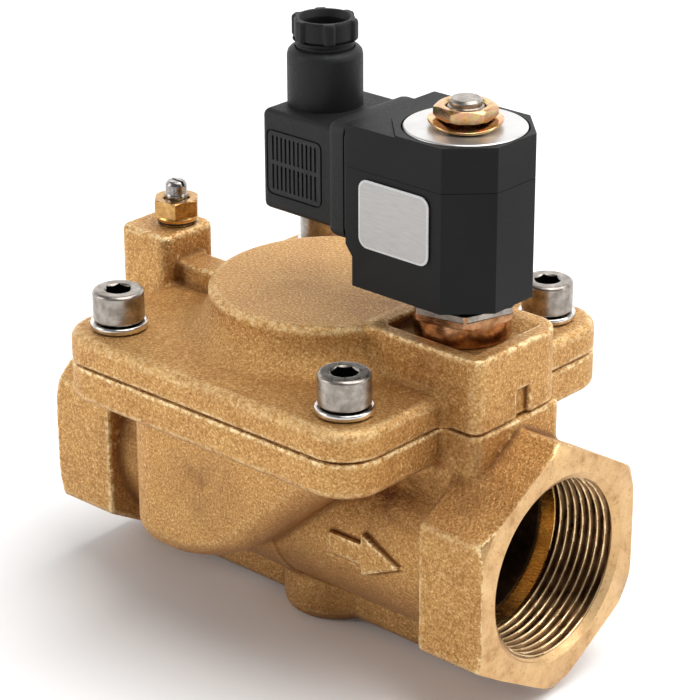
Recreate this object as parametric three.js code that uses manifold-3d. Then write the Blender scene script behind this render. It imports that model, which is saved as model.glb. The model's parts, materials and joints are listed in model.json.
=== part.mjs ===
// Pilot-operated diaphragm solenoid valve with G 1 1/2 ports, normally closed.
// Millimetres, +Z up, +X along the flow towards the outlet, -Y towards the label side.
// The origin is on the surface that the valve stands on, under the middle of the body.
import * as THREE from 'three';
import { mergeVertices } from 'three/addons/utils/BufferGeometryUtils.js';
import Module from 'manifold-3d';

const wasm = await Module();
wasm.setup();

// ---------------------------------------------------------------- driving dimensions
const GAP = 0.3;              // space kept between two separate pieces
const OVER = 1;               // how far a cutting solid runs past the face it cuts
const SMOOTH = 32;            // sides of a large round form
const FINE = 18;              // sides of a medium round form
const COARSE = 10;            // sides of a small round form
const WELD = 1e-4;            // points closer than this are one point

const FLOW_Z = 35;            // height of the flow axis
const FACE_X = 73.5;          // half the face-to-face length
const HEX_AF = 58.8;          // width across flats of the port hexagons
const HEX_LENGTH = 20;
const HEX_FACE_R = 31.6;      // radius that the port faces are turned to
const HEX_TURN_LENGTH = 1.5;
const HEX_TURN_SLOPE = 1.8;   // radius gained per length of the turned chamfer
const PORT_R = 22.4;          // G 1 1/2 minor radius
const PORT_MOUTH_R = 24.3;
const MOUTH_LENGTH = 1.6;
const PORT_DEPTH = 22;        // mouth to shoulder
const RELIEF_R = 22.7;        // smooth band behind the thread
const RELIEF_LENGTH = 3.2;
const CHANNEL_R = 21;
const CHANNEL_WALL = 3.6;
const TUBE_R = 25;            // outside of the cast flow tube
const NECK_R = 25.5;          // inlet neck between hexagon and bowl

const FLANGE_HALF = 50;       // half the side of the square cover and body flange
const FLANGE_CORNER_R = 11.3;
const FLANGE_BOTTOM_Z = 62;
const SEAM_Z = 71.5;
const COVER_TOP_Z = 79.6;
const EDGE = 2.2;             // softened edge of the cast plates
const KEEL = { bottomZ: 2.5, half: 8.2, corner: 2 };   // rib under the flow tube
const BOSS = { r: 13.2, chamfer: 2.7, height: 3 };    // round foot under the middle
const SCREW_PITCH = 76.2;     // cover screw spacing, both ways

const SEAT_R = 17;            // main seat bore
const SEAT_WALL = 4;
const SEAT_Z = 61;
const SEAT_RIM = 4.5;         // height by which the seat stands in the round chamber
const INLET_WALL = 3;         // wall between the inlet channel's end and the outlet channel
const CHAMBER_R = 34.5;
const DIAPHRAGM_R = 38.5;
const DIAPHRAGM_T = 2;

const DOME_R = 31.5;
const DOME_BASE_R = 41;
const DOME_Z = 91.1;

const TOWER_X = 42;           // armature tube axis
const BLOCK_HALF = 16.4;      // half the width of the pilot block
const BLOCK_BACK_X = 25;
const BLOCK_FRONT_X = 60.5;
const BLOCK_CORNER_R = 3.2;
const BLOCK_FAR_CORNER_R = 7;
const BLOCK_Z = 91;
const POCKET_Z = 89;          // floor of the pocket in the top of the pilot block
const NOTCH = { y0: -1.4, y1: 3.2, top: 79, depth: 1.3 };   // casting notch above the seam
const PILOT_FLOOR_Z = 77.5;
const PILOT_BORE_R = 9.3;

const BLEED_X = -54.6;        // bleed screw axis
const BLEED_Y = -1;
const BLEED_BLOCK = { backX: -64.8, frontX: -47.5, nearY: -12.6, farY: 6.2 };
const BLEED_Z = 93.2;
const RIB = { y0: -7.6, y1: 1.6, top: 85.5 };   // feed rib from the bleed block to the dome

const COIL_BOTTOM_Z = 100;
const COIL_TOP_Z = 141;
const COIL_HALF = 16.2;
const COIL_CHAMFER = 9.2;
const COIL_FRONT_X = 57.6;
const COIL_BACK_X = 20.8;
const CONNECTOR_X = 18.7;     // rear face of the connector seat on the coil
const CONNECTOR_Z = 124.3;    // height of the connector centre
const PLATE_R = 14.8;         // coil top plate

const PLUG_BACK_X = -11;
const PLUG_STEP_X = 10.3;
const PLUG_FACE_X = 16.1;
const PLUG_HALF = 13.7;
const PLUG_BOTTOM_Z = 111.5;
const PLUG_TOP_Z = 137.2;
const GLAND_X = -2.4;         // cable gland axis
const GLAND_R = 9.3;
const GLAND_TOWER_Z = 151.5;
const GLAND_TOP_Z = 158.8;

// ---------------------------------------------------------------- solid helpers
// Turns a closed geometry into a solid, whichever way round its faces were listed.
function solid(geometry) {
  const bare = geometry.index ? geometry.toNonIndexed() : geometry.clone();
  bare.deleteAttribute('normal');
  bare.deleteAttribute('uv');
  const merged = mergeVertices(bare, WELD);
  const vertProperties = Float32Array.from(merged.attributes.position.array);
  const triVerts = Uint32Array.from(merged.index.array);
  const kept = [];
  let volume = 0;
  const corner = [0, 1, 2].map(() => new THREE.Vector3());
  for (let i = 0; i < triVerts.length; i += 3) {
    const [a, b, c] = triVerts.subarray(i, i + 3);
    if (a !== b && b !== c && c !== a) {
      kept.push(a, b, c);
      [a, b, c].forEach((v, k) => corner[k].fromArray(vertProperties, 3 * v));
      volume += corner[0].dot(corner[1].cross(corner[2]));
    }
  }
  if (volume < 0) {
    kept.reverse();
  }
  return new wasm.Manifold(new wasm.Mesh({ numProp: 3, vertProperties, triVerts: Uint32Array.from(kept) }));
}

// Joins any number of solids.
function join(...solids) {
  return solids.reduce((sum, next) => sum.add(next));
}

// Cuts every listed solid out of the first one.
function cut(base, ...tools) {
  return tools.reduce((rest, tool) => rest.subtract(tool), base);
}

function move(body, x, y, z) {
  return body.translate([x, y, z]);
}

// A round piece about Z from a profile of [radius, z] points.
function turned(profile, sides = FINE) {
  const points = profile.map(([r, z]) => new THREE.Vector2(r, z));
  const onAxis = profile[0][0] === 0 && profile.at(-1)[0] === 0;
  if (!onAxis) points.push(points[0].clone());
  return solid(new THREE.LatheGeometry(points, sides).rotateX(Math.PI / 2));
}

function disc(radius, z0, z1, sides = FINE) {
  return turned([[0, z0], [radius, z0], [radius, z1], [0, z1]], sides);
}

// A round cutter whose flats, not its corners, stand at the given radius.
function bore(radius, z0, z1, sides = FINE) {
  return disc(radius / Math.cos(Math.PI / sides), z0, z1, sides);
}

function ring(inner, outer, z0, z1, sides = FINE) {
  return turned([[inner, z0], [outer, z0], [outer, z1], [inner, z1]], sides);
}

// Lays a piece that was made about Z along +X instead, z becoming x.
function alongX(body) {
  return body.rotate([0, 90, 0]);
}

function box(x0, x1, y0, y1, z0, z1) {
  const block = new THREE.BoxGeometry(x1 - x0, y1 - y0, z1 - z0);
  return solid(block.translate((x0 + x1) / 2, (y0 + y1) / 2, (z0 + z1) / 2));
}

function prism(shape, z0, z1, curveSegments = 4) {
  const bar = new THREE.ExtrudeGeometry(shape, { depth: z1 - z0, bevelEnabled: false, curveSegments });
  return solid(bar.translate(0, 0, z0));
}

function polygon(points) {
  return new THREE.Shape(points.map(([x, y]) => new THREE.Vector2(x, y)));
}

// A regular polygon of the given width across its flats, one corner at the angle turn.
function regular(sides, acrossFlats, turn = 0) {
  const reach = acrossFlats / 2 / Math.cos(Math.PI / sides);
  const corners = Array.from({ length: sides }, (unused, i) => {
    const angle = turn + (2 * Math.PI * i) / sides;
    return [reach * Math.cos(angle), reach * Math.sin(angle)];
  });
  return polygon(corners);
}

// A rectangle with rounded corners; the corner at x1, y1 may have a radius of its own.
function roundedRect(x0, x1, y0, y1, r, farR = r) {
  const shape = new THREE.Shape();
  shape.absarc(x1 - r, y0 + r, r, -Math.PI / 2, 0);
  shape.absarc(x1 - farR, y1 - farR, farR, 0, Math.PI / 2);
  shape.absarc(x0 + r, y1 - r, r, Math.PI / 2, Math.PI);
  shape.absarc(x0 + r, y0 + r, r, Math.PI, 1.5 * Math.PI);
  return shape;
}

// A plate of the given outline whose upper and lower edges are softened.
function softPlate(shape, z0, z1, edge) {
  const plate = new THREE.ExtrudeGeometry(shape, {
    depth: z1 - z0 - 2 * edge,
    bevelThickness: edge,
    bevelSize: edge,
    bevelOffset: -edge,
    bevelSegments: 1,
    curveSegments: 4,
  });
  return solid(plate.translate(0, 0, z0 + edge));
}

// A plate softened along its upper edge only, or along its lower edge only.
function softTop(shape, z0, z1, edge) {
  return join(prism(shape, z0, z1 - 2 * edge), softPlate(shape, z0, z1, edge));
}

function softBottom(shape, z0, z1, edge) {
  return join(prism(shape, z0 + 2 * edge, z1), softPlate(shape, z0, z1, edge));
}

// A round wire wound into a compression spring about Z.
function coilSpring(radius, wireR, z0, z1, turns) {
  const stepsPerTurn = 10;
  const rise = z1 - z0 - 2 * wireR;
  class Helix extends THREE.Curve {
    getPoint(t, target = new THREE.Vector3()) {
      const angle = 2 * Math.PI * turns * t;
      return target.set(radius * Math.cos(angle), radius * Math.sin(angle), z0 + wireR + rise * t);
    }
  }
  const wire = regular(4, 2 * wireR * Math.cos(Math.PI / 4));
  const extrudePath = new Helix();
  const steps = stepsPerTurn * turns;
  return solid(new THREE.ExtrudeGeometry(wire, { steps, extrudePath, bevelEnabled: false }));
}

const valve = new THREE.Group();

// Adds one named piece with its own finish.
function piece(name, body, color, roughness, metalness) {
  const mesh = body.getMesh();
  const geometry = new THREE.BufferGeometry();
  geometry.setAttribute('position', new THREE.BufferAttribute(Float32Array.from(mesh.vertProperties), 3));
  geometry.setIndex(new THREE.BufferAttribute(Uint32Array.from(mesh.triVerts), 1));
  geometry.computeVertexNormals();
  const finish = new THREE.MeshStandardMaterial({ color, roughness, metalness });
  const part = new THREE.Mesh(geometry, finish);
  part.name = name;
  valve.add(part);
}

const castBrass = (name, body) => piece(name, body, 0xb98d4e, 0.55, 0.85);
const turnedBrass = (name, body) => piece(name, body, 0xc99a45, 0.3, 0.95);
const stainless = (name, body) => piece(name, body, 0xb9b4ae, 0.32, 0.95);
const steel = (name, body) => piece(name, body, 0x8d8d90, 0.4, 0.9);
const yellowZinc = (name, body) => piece(name, body, 0xc9a24a, 0.3, 0.9);
const blackPlastic = (name, body) => piece(name, body, 0x262628, 0.6, 0);
const rubber = (name, body) => piece(name, body, 0x151515, 0.85, 0);
const copper = (name, body) => piece(name, body, 0xb5683a, 0.35, 0.95);

const screwSpots = [[-1, -1], [1, -1], [1, 1], [-1, 1]]
  .map(([i, j]) => [(i * SCREW_PITCH) / 2, (j * SCREW_PITCH) / 2]);
const HEX_CORNER = -0.836;    // direction in which a corner of the standing hexagons points

// ---------------------------------------------------------------- valve body
const MAIN_SCREW_R = 3.9;     // M8 shank
const SCREW_HOLE_R = MAIN_SCREW_R + GAP;
const SCREW_HOLE_FLOOR_Z = 64.4;
const PILOT_HOLE_R = 1.7;

// The bowl is the inlet chamber: deep on the inlet side, its floor climbing towards the outlet.
const BOWL = { half: 39, backX: -40, floorZ: 21, slopeX: -6, topX: 38, topZ: 60, corner: 15, wall: 4 };

function flowHexagon(sign) {
  const hexagon = move(alongX(prism(regular(6, HEX_AF, 0), FACE_X - HEX_LENGTH, FACE_X)), 0, 0, FLOW_Z);
  const turnR = HEX_FACE_R + HEX_TURN_SLOPE * HEX_TURN_LENGTH;
  const facing = move(alongX(turned([
    [0, FACE_X - HEX_LENGTH - OVER],
    [HEX_AF, FACE_X - HEX_LENGTH - OVER],
    [HEX_AF, FACE_X - HEX_TURN_LENGTH],
    [turnR, FACE_X - HEX_TURN_LENGTH],
    [HEX_FACE_R, FACE_X],
    [0, FACE_X],
  ], SMOOTH)), 0, 0, FLOW_Z);
  const end = hexagon.intersect(facing);
  return sign > 0 ? end : end.rotate([0, 0, 180]);
}

// The threaded socket: mouth countersink, thread bore, run-out groove, shoulder and channel.
function flowSocket(sign, channelEndX) {
  const shoulderX = FACE_X - PORT_DEPTH;
  const socket = move(alongX(turned([
    [0, channelEndX],
    [CHANNEL_R, channelEndX],
    [CHANNEL_R, shoulderX],
    [RELIEF_R, shoulderX],
    [RELIEF_R, shoulderX + RELIEF_LENGTH],
    [PORT_R, shoulderX + RELIEF_LENGTH],
    [PORT_R, FACE_X - MOUTH_LENGTH],
    [PORT_MOUTH_R, FACE_X],
    [PORT_MOUTH_R, FACE_X + OVER],
    [0, FACE_X + OVER],
  ], SMOOTH)), 0, 0, FLOW_Z);
  return sign > 0 ? socket : socket.rotate([0, 0, 180]);
}

// The bowl's side outline in X and Z, drawn with a margin inside the outer skin.
function bowlSolid(margin, topZ) {
  const slope = (BOWL.topZ - BOWL.floorZ) / (BOWL.topX - BOWL.slopeX);
  const slant = margin * Math.hypot(1, slope);
  const side = polygon([
    [BOWL.backX + margin, BOWL.floorZ + margin],
    [BOWL.slopeX + (margin - slant) / slope, BOWL.floorZ + margin],
    [BOWL.topX - slant / slope, BOWL.topZ],
    [BOWL.topX - slant / slope, topZ],
    [BOWL.backX + margin, topZ],
  ]);
  const half = BOWL.half - margin;
  const wedge = solid(new THREE.ExtrudeGeometry(side, { depth: 2 * half, bevelEnabled: false })
    .translate(0, 0, -half).rotateX(Math.PI / 2));
  const plan = roundedRect(BOWL.backX + margin, BOWL.topX + margin, -half, half, BOWL.corner - margin);
  return wedge.intersect(softBottom(plan, BOWL.floorZ + margin, topZ, BOWL.corner / 2));
}

function blockOutline() {
  return roundedRect(
    BLOCK_BACK_X, BLOCK_FRONT_X, -BLOCK_HALF, BLOCK_HALF, BLOCK_CORNER_R, BLOCK_FAR_CORNER_R,
  );
}

function valveBody() {
  const flange = roundedRect(-FLANGE_HALF, FLANGE_HALF, -FLANGE_HALF, FLANGE_HALF, FLANGE_CORNER_R);
  const tube = move(alongX(disc(TUBE_R, -BOWL.corner, FACE_X - HEX_LENGTH + OVER, SMOOTH)), 0, 0, FLOW_Z);
  const neck = move(alongX(disc(NECK_R, HEX_LENGTH - FACE_X - OVER, 0, SMOOTH)), 0, 0, FLOW_Z);
  const keelEnd = FACE_X - HEX_LENGTH + OVER;
  const keelSection = roundedRect(-FLOW_Z, -KEEL.bottomZ, -KEEL.half, KEEL.half, KEEL.corner);
  const keel = alongX(prism(keelSection, -keelEnd, keelEnd));
  const boss = turned([
    [0, 0],
    [BOSS.r - BOSS.chamfer, 0],
    [BOSS.r - BOSS.chamfer / 4, BOSS.height / 3],
    [BOSS.r, BOSS.height],
    [BOSS.r, FLOW_Z],
    [0, FLOW_Z],
  ]);
  const column = prism(blockOutline(), FLOW_Z, SEAM_Z);
  const outside = join(
    softBottom(flange, FLANGE_BOTTOM_Z, SEAM_Z, EDGE),
    bowlSolid(0, FLANGE_BOTTOM_Z + OVER),
    tube, neck, keel, boss, column, flowHexagon(1), flowHexagon(-1),
  );

  const channelOuterR = CHANNEL_R + CHANNEL_WALL;
  const channelWall = join(
    move(alongX(disc(channelOuterR, 0, FACE_X, SMOOTH)), 0, 0, FLOW_Z),
    solid(new THREE.SphereGeometry(channelOuterR, FINE, COARSE).translate(0, 0, FLOW_Z)),
    disc(SEAT_R + SEAT_WALL, FLOW_Z, SEAT_Z, SMOOTH),
  );
  const inletChamber = bowlSolid(BOWL.wall, FLANGE_BOTTOM_Z)
    .intersect(disc(CHAMBER_R, 0, FLANGE_BOTTOM_Z, SMOOTH))
    .add(disc(CHAMBER_R, SEAT_Z - SEAT_RIM, SEAM_Z + OVER, SMOOTH))
    .subtract(channelWall);
  const inletFloorX = channelOuterR + INLET_WALL;
  const outletTurn = solid(new THREE.SphereGeometry(CHANNEL_R, FINE, COARSE).translate(0, 0, FLOW_Z));
  const inside = join(
    inletChamber,
    flowSocket(-1, inletFloorX),
    flowSocket(1, 0),
    outletTurn,
    disc(SEAT_R, FLOW_Z, SEAT_Z + OVER, SMOOTH),
    disc(DIAPHRAGM_R + GAP, SEAM_Z - DIAPHRAGM_T - GAP, SEAM_Z + OVER, SMOOTH),
    move(disc(PILOT_HOLE_R, FLOW_Z, SEAM_Z + OVER, COARSE), TOWER_X, 0, 0),
  );
  const screwHole = bore(SCREW_HOLE_R, SCREW_HOLE_FLOOR_Z, SEAM_Z + OVER);
  const screwHoles = screwSpots.map(([x, y]) => move(screwHole, x, y, 0));
  return cut(outside, inside, ...screwHoles);
}

castBrass('valve_body', valveBody());

// ---------------------------------------------------------------- cover
const COVER_BOTTOM_Z = SEAM_Z + GAP;
const COLLAR_R = 11.8;        // round collar of the armature tube
const TUBE_THREAD_R = 9;
const PILOT_NOZZLE_R = 3;
const BLEED_THREAD_R = 4.3;
const BLEED_PASSAGE_Z = 82;
const PASSAGE_R = 1.5;        // drilled pilot and bleed passages
const DOME = { footZ: 82, footR: 36.5, neckZ: 86, neckR: 32.6, sideZ: 87.6, edgeZ: 89.3, edge: 1.8 };
const COVER_CHAMBER = { shoulderZ: 76, topR: 24.5, topZ: 86 };
const POCKET = { backX: 28.8, length: 27.4, half: 12.5, farEdge: 15.4 };
const BLOCK_EDGE = 1.4;
const BLEED_CORNER_R = 3;
const BLEED_EDGE = 1;
const NOZZLE_SEAT_Z = 74.5;
const PILOT_SPACE = { r: 7, topZ: 80, ringZ: 87.4, ringR: 11.4, feedZ: 79 };
const BLEED_SPACE = { r: 3.4, threadZ: 86.5 };

function valveCover() {
  const plate = roundedRect(-FLANGE_HALF, FLANGE_HALF, -FLANGE_HALF, FLANGE_HALF, FLANGE_CORNER_R);
  const dome = turned([
    [0, COVER_TOP_Z - OVER], [DOME_BASE_R, COVER_TOP_Z - OVER], [DOME_BASE_R, COVER_TOP_Z],
    [DOME.footR, DOME.footZ], [DOME.neckR, DOME.neckZ], [DOME_R, DOME.sideZ], [DOME_R, DOME.edgeZ],
    [DOME_R - DOME.edge, DOME_Z], [0, DOME_Z],
  ], SMOOTH);
  const block = softTop(blockOutline(), COVER_BOTTOM_Z, BLOCK_Z, BLOCK_EDGE);
  const bleedOutline = roundedRect(
    BLEED_BLOCK.backX, BLEED_BLOCK.frontX, BLEED_BLOCK.nearY, BLEED_BLOCK.farY, BLEED_CORNER_R,
  );
  const bleedBlock = softTop(bleedOutline, COVER_BOTTOM_Z, BLEED_Z, BLEED_EDGE);
  const rib = box(BLEED_X, DOME.edge - DOME_R, RIB.y0, RIB.y1, COVER_TOP_Z - OVER, RIB.top);
  const outside = join(softTop(plate, COVER_BOTTOM_Z, COVER_TOP_Z, EDGE), dome, block, bleedBlock, rib);

  const chamber = turned([
    [0, COVER_BOTTOM_Z - OVER], [CHAMBER_R, COVER_BOTTOM_Z - OVER], [CHAMBER_R, COVER_CHAMBER.shoulderZ],
    [COVER_CHAMBER.topR, COVER_CHAMBER.topZ], [0, COVER_CHAMBER.topZ],
  ], SMOOTH);
  // The pocket's floor climbs to the top of the block on the +Y side.
  const pocketSection = polygon([
    [-POCKET.half, POCKET_Z],
    [POCKET.half, POCKET_Z],
    [POCKET.farEdge, BLOCK_Z + OVER],
    [-POCKET.half, BLOCK_Z + OVER],
  ]);
  const pocket = solid(new THREE.ExtrudeGeometry(pocketSection, { depth: POCKET.length, bevelEnabled: false })
    .rotateX(Math.PI / 2).rotateZ(Math.PI / 2).translate(POCKET.backX, 0, 0));
  const pilotBore = move(turned([
    [0, COVER_BOTTOM_Z - OVER], [PILOT_HOLE_R, COVER_BOTTOM_Z - OVER], [PILOT_HOLE_R, NOZZLE_SEAT_Z],
    [PILOT_NOZZLE_R + GAP, NOZZLE_SEAT_Z], [PILOT_NOZZLE_R + GAP, PILOT_FLOOR_Z],
    [PILOT_SPACE.r, PILOT_FLOOR_Z], [PILOT_SPACE.r, PILOT_SPACE.topZ],
    [PILOT_BORE_R, PILOT_SPACE.topZ], [PILOT_BORE_R, PILOT_SPACE.ringZ],
    [PILOT_SPACE.ringR, PILOT_SPACE.ringZ], [PILOT_SPACE.ringR, POCKET_Z + OVER], [0, POCKET_Z + OVER],
  ]), TOWER_X, 0, 0);
  const pilotFeed = alongX(disc(PASSAGE_R, CHAMBER_R - 2 * GAP - PASSAGE_R * 3, TOWER_X - PASSAGE_R, COARSE));
  const bleedBore = move(turned([
    [0, BLEED_PASSAGE_Z - 2 * PASSAGE_R], [BLEED_SPACE.r, BLEED_PASSAGE_Z - OVER],
    [BLEED_SPACE.r, BLEED_SPACE.threadZ], [BLEED_THREAD_R + GAP, BLEED_SPACE.threadZ],
    [BLEED_THREAD_R + GAP, BLEED_Z + OVER], [0, BLEED_Z + OVER],
  ]), BLEED_X, BLEED_Y, 0);
  const bleedFeed = alongX(disc(PASSAGE_R, BLEED_X, -COVER_CHAMBER.topR, COARSE));
  const notch = box(BLOCK_FRONT_X - NOTCH.depth, BLOCK_FRONT_X + OVER, NOTCH.y0, NOTCH.y1, SEAM_Z, NOTCH.top);
  const screwHole = bore(SCREW_HOLE_R, SEAM_Z - OVER, COVER_TOP_Z + OVER);
  const screwHoles = screwSpots.map(([x, y]) => move(screwHole, x, y, 0));
  const passages = [
    move(pilotFeed, 0, 0, PILOT_SPACE.feedZ),
    move(bleedFeed, 0, BLEED_Y, BLEED_PASSAGE_Z),
  ];
  return cut(outside, notch, chamber, pocket, pilotBore, bleedBore, ...passages, ...screwHoles);
}

castBrass('valve_cover', valveCover());

// ---------------------------------------------------------------- cover screws and split washers
const WASHER_Z = COVER_TOP_Z + GAP;
const WASHER_T = 1.7;
const HEAD_Z = WASHER_Z + WASHER_T + GAP;
const HEAD_R = 6.5;
const HEAD_H = 8;
const HEAD_EDGE = 0.9;
const SOCKET_AF = 6;
const SOCKET_DEPTH = 4;
const TIP_EDGE = 0.8;
const SCREW_TIP_Z = SCREW_HOLE_FLOOR_Z + 1;

function capScrew() {
  const top = HEAD_Z + HEAD_H;
  const blank = turned([
    [0, SCREW_TIP_Z],
    [MAIN_SCREW_R - TIP_EDGE, SCREW_TIP_Z],
    [MAIN_SCREW_R, SCREW_TIP_Z + TIP_EDGE],
    [MAIN_SCREW_R, HEAD_Z],
    [HEAD_R, HEAD_Z],
    [HEAD_R, top - HEAD_EDGE],
    [HEAD_R - HEAD_EDGE, top],
    [0, top],
  ]);
  return blank.subtract(prism(regular(6, SOCKET_AF), top - SOCKET_DEPTH, top + OVER));
}

// A spring lock washer: a flat ring with one narrow slanted split.
const WASHER_INNER_R = 4.25;
const WASHER_OUTER_R = 7.3;
const SPLIT = { width: 0.7, lean: 0.5 };

function splitWasher() {
  const flat = ring(WASHER_INNER_R, WASHER_OUTER_R, WASHER_Z, WASHER_Z + WASHER_T);
  const slit = new THREE.BoxGeometry(WASHER_OUTER_R, SPLIT.width, 3 * WASHER_T);
  return flat.subtract(solid(slit.rotateX(SPLIT.lean).translate(WASHER_OUTER_R, 0, WASHER_Z + WASHER_T / 2)));
}

// How each screw and washer came to rest when it was tightened, in degrees.
const socketTurns = [12, 42, 25, 5];
const splitTurns = [196, -55, 54, 163];
screwSpots.forEach(([x, y], i) => {
  stainless(`cover_screw_${i + 1}`, move(capScrew().rotate([0, 0, socketTurns[i]]), x, y, 0));
  stainless(`split_washer_${i + 1}`, move(splitWasher().rotate([0, 0, splitTurns[i]]), x, y, 0));
});

// ---------------------------------------------------------------- diaphragm group
const SEAL_T = 2.4;
const DISC_BOTTOM_Z = SEAT_Z + GAP;
const SEAL_HOLDER_Z = DISC_BOTTOM_Z + SEAL_T;
const HOLDER_RIM_T = 1.5;
const DIAPHRAGM_CENTRE_Z = SEAL_HOLDER_Z + HOLDER_RIM_T + 2 * GAP;
const PLATE_Z = DIAPHRAGM_CENTRE_Z + DIAPHRAGM_T + GAP;
const PLATE_T = 1.8;
const PLATE_R_MAIN = 20.5;
const STEM_R = 3.9;
const STEM_CLEAR_R = STEM_R + GAP;
const SEAL = { innerR: 15.4, outerR: 20.8 };
const HOLDER = { nose: 2, noseR: 11, neckR: 15, rimR: 21, rimT: HOLDER_RIM_T };
const CONVOLUTION = { innerR: 21, outerR: 31.5, drop: 1.5, rimR: 33.5 };
const STEM_NUT_AF = 13;
const STEM_NUT_H = 4;
const STEM_END = 6;           // stem length above the plate
const SPRING = { r: 11.5, wireR: 0.8, turns: 4 };

rubber('seat_seal', ring(SEAL.innerR, SEAL.outerR, DISC_BOTTOM_Z, DISC_BOTTOM_Z + SEAL_T, SMOOTH));
turnedBrass('seal_holder', turned([
  [STEM_CLEAR_R, DISC_BOTTOM_Z - HOLDER.nose],
  [HOLDER.noseR, DISC_BOTTOM_Z - HOLDER.nose],
  [HOLDER.neckR, DISC_BOTTOM_Z + GAP],
  [HOLDER.neckR, SEAL_HOLDER_Z + GAP],
  [HOLDER.rimR, SEAL_HOLDER_Z + GAP],
  [HOLDER.rimR, SEAL_HOLDER_Z + HOLDER.rimT + GAP],
  [STEM_CLEAR_R, SEAL_HOLDER_Z + HOLDER.rimT + GAP],
], SMOOTH));
rubber('diaphragm', turned([
  [STEM_CLEAR_R, DIAPHRAGM_CENTRE_Z],
  [CONVOLUTION.innerR + OVER, DIAPHRAGM_CENTRE_Z],
  [CONVOLUTION.outerR, SEAM_Z - DIAPHRAGM_T - CONVOLUTION.drop],
  [CONVOLUTION.rimR, SEAM_Z - DIAPHRAGM_T],
  [DIAPHRAGM_R, SEAM_Z - DIAPHRAGM_T],
  [DIAPHRAGM_R, SEAM_Z],
  [CONVOLUTION.rimR - OVER, SEAM_Z],
  [CONVOLUTION.outerR - OVER, SEAM_Z - CONVOLUTION.drop],
  [CONVOLUTION.innerR, DIAPHRAGM_CENTRE_Z + DIAPHRAGM_T],
  [STEM_CLEAR_R, DIAPHRAGM_CENTRE_Z + DIAPHRAGM_T],
], SMOOTH));
stainless('diaphragm_plate', ring(STEM_CLEAR_R, PLATE_R_MAIN, PLATE_Z, PLATE_Z + PLATE_T, SMOOTH));
const STEM_HEAD_Z = DISC_BOTTOM_Z - HOLDER.nose - GAP;
const NUT_Z = PLATE_Z + PLATE_T + GAP;
const stemHead = prism(regular(6, STEM_NUT_AF), STEM_HEAD_Z - STEM_NUT_H, STEM_HEAD_Z);
stainless('diaphragm_bolt', stemHead.add(disc(STEM_R, STEM_HEAD_Z - OVER, NUT_Z + STEM_END, COARSE)));
stainless('diaphragm_nut', prism(regular(6, STEM_NUT_AF), NUT_Z, NUT_Z + STEM_NUT_H)
  .subtract(disc(STEM_CLEAR_R, NUT_Z - OVER, NUT_Z + STEM_NUT_H + OVER, COARSE)));
stainless('main_spring', coilSpring(SPRING.r, SPRING.wireR, NUT_Z, COVER_CHAMBER.topZ - GAP, SPRING.turns));

// ---------------------------------------------------------------- armature tube and plunger
const COLLAR_Z = POCKET_Z + GAP;
const TUBE_HEX_Z = 94.6;
const TUBE_HEX_TOP_Z = 98;
const TUBE_OUTER_R = 6.7;
const TUBE_INNER_R = 5.8;
const TUBE_TOP_Z = 132;
const CORE_FACE_Z = 120.4;
const PLUNGER_R = 5.4;
const PLUNGER_Z = 80.9;
const PLUNGER_STROKE = 2;
const PLUNGER_TOP_Z = CORE_FACE_Z - PLUNGER_STROKE - GAP;
const STUD_R = 4.5;
const STUD_TOP_Z = 148;
const POCKET_R = 3;           // pocket in the plunger for its return spring
const POCKET_FLOOR_Z = 105;
const TUBE_BOTTOM_Z = 80.3;
const TUBE_HEX_AF = 23.6;
const CORE = { seatDrop: 3, cone: 0.6, neck: 1.9, tipR: 3.9, tipStep: 1.6, tipEdge: 0.5 };
const SHADING = { innerR: 3.6, outerR: 4.4, depth: 1.3 };
const PLUNGER_SLOT = { half: 0.9, floorR: 4.6, bottomZ: 84 };
const PLUNGER_SEAL = { r: 2.5, stand: 0.5, depth: 2.5 };
const NOZZLE = { holeR: 1, bottomZ: 74.8, shoulderZ: 77.2, tipR: 1.9, tipZ: 80.1 };
const TUBE_RING = { innerR: 9.5, outerR: 11.1, bottomZ: 87.7 };
const RETURN_SPRING = { r: 2.1, wireR: 0.35, turns: 5 };

const tubeProfile = [
  [TUBE_INNER_R, TUBE_BOTTOM_Z], [TUBE_THREAD_R, TUBE_BOTTOM_Z], [TUBE_THREAD_R, COLLAR_Z],
  [COLLAR_R, COLLAR_Z],
  [COLLAR_R, TUBE_HEX_Z + OVER], [TUBE_OUTER_R, TUBE_HEX_Z + OVER], [TUBE_OUTER_R, TUBE_TOP_Z],
  [TUBE_INNER_R, TUBE_TOP_Z],
];
const tubeHexagon = prism(regular(6, TUBE_HEX_AF, HEX_CORNER), TUBE_HEX_Z, TUBE_HEX_TOP_Z)
  .subtract(disc(TUBE_INNER_R, TUBE_HEX_Z - OVER, TUBE_HEX_TOP_Z + OVER));
stainless('armature_tube', move(turned(tubeProfile).add(tubeHexagon), TOWER_X, 0, 0));

const ringGroove = ring(
  SHADING.innerR - GAP, SHADING.outerR + GAP, CORE_FACE_Z - OVER, CORE_FACE_Z + SHADING.depth + GAP,
);
steel('fixed_core', move(cut(turned([
  [0, CORE_FACE_Z],
  [TUBE_INNER_R - GAP, CORE_FACE_Z],
  [TUBE_INNER_R - GAP, TUBE_TOP_Z + GAP],
  [TUBE_OUTER_R, TUBE_TOP_Z + GAP],
  [TUBE_OUTER_R, COIL_TOP_Z - CORE.seatDrop],
  [STUD_R, COIL_TOP_Z - CORE.seatDrop + CORE.cone],
  [STUD_R, STUD_TOP_Z - CORE.neck],
  [CORE.tipR, STUD_TOP_Z - CORE.tipStep],
  [CORE.tipR, STUD_TOP_Z - CORE.tipEdge],
  [CORE.tipR - CORE.tipEdge, STUD_TOP_Z],
  [0, STUD_TOP_Z],
]), ringGroove), TOWER_X, 0, 0));
const shadingRing = ring(SHADING.innerR, SHADING.outerR, CORE_FACE_Z, CORE_FACE_Z + SHADING.depth);
copper('shading_ring', move(shadingRing, TOWER_X, 0, 0));

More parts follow.
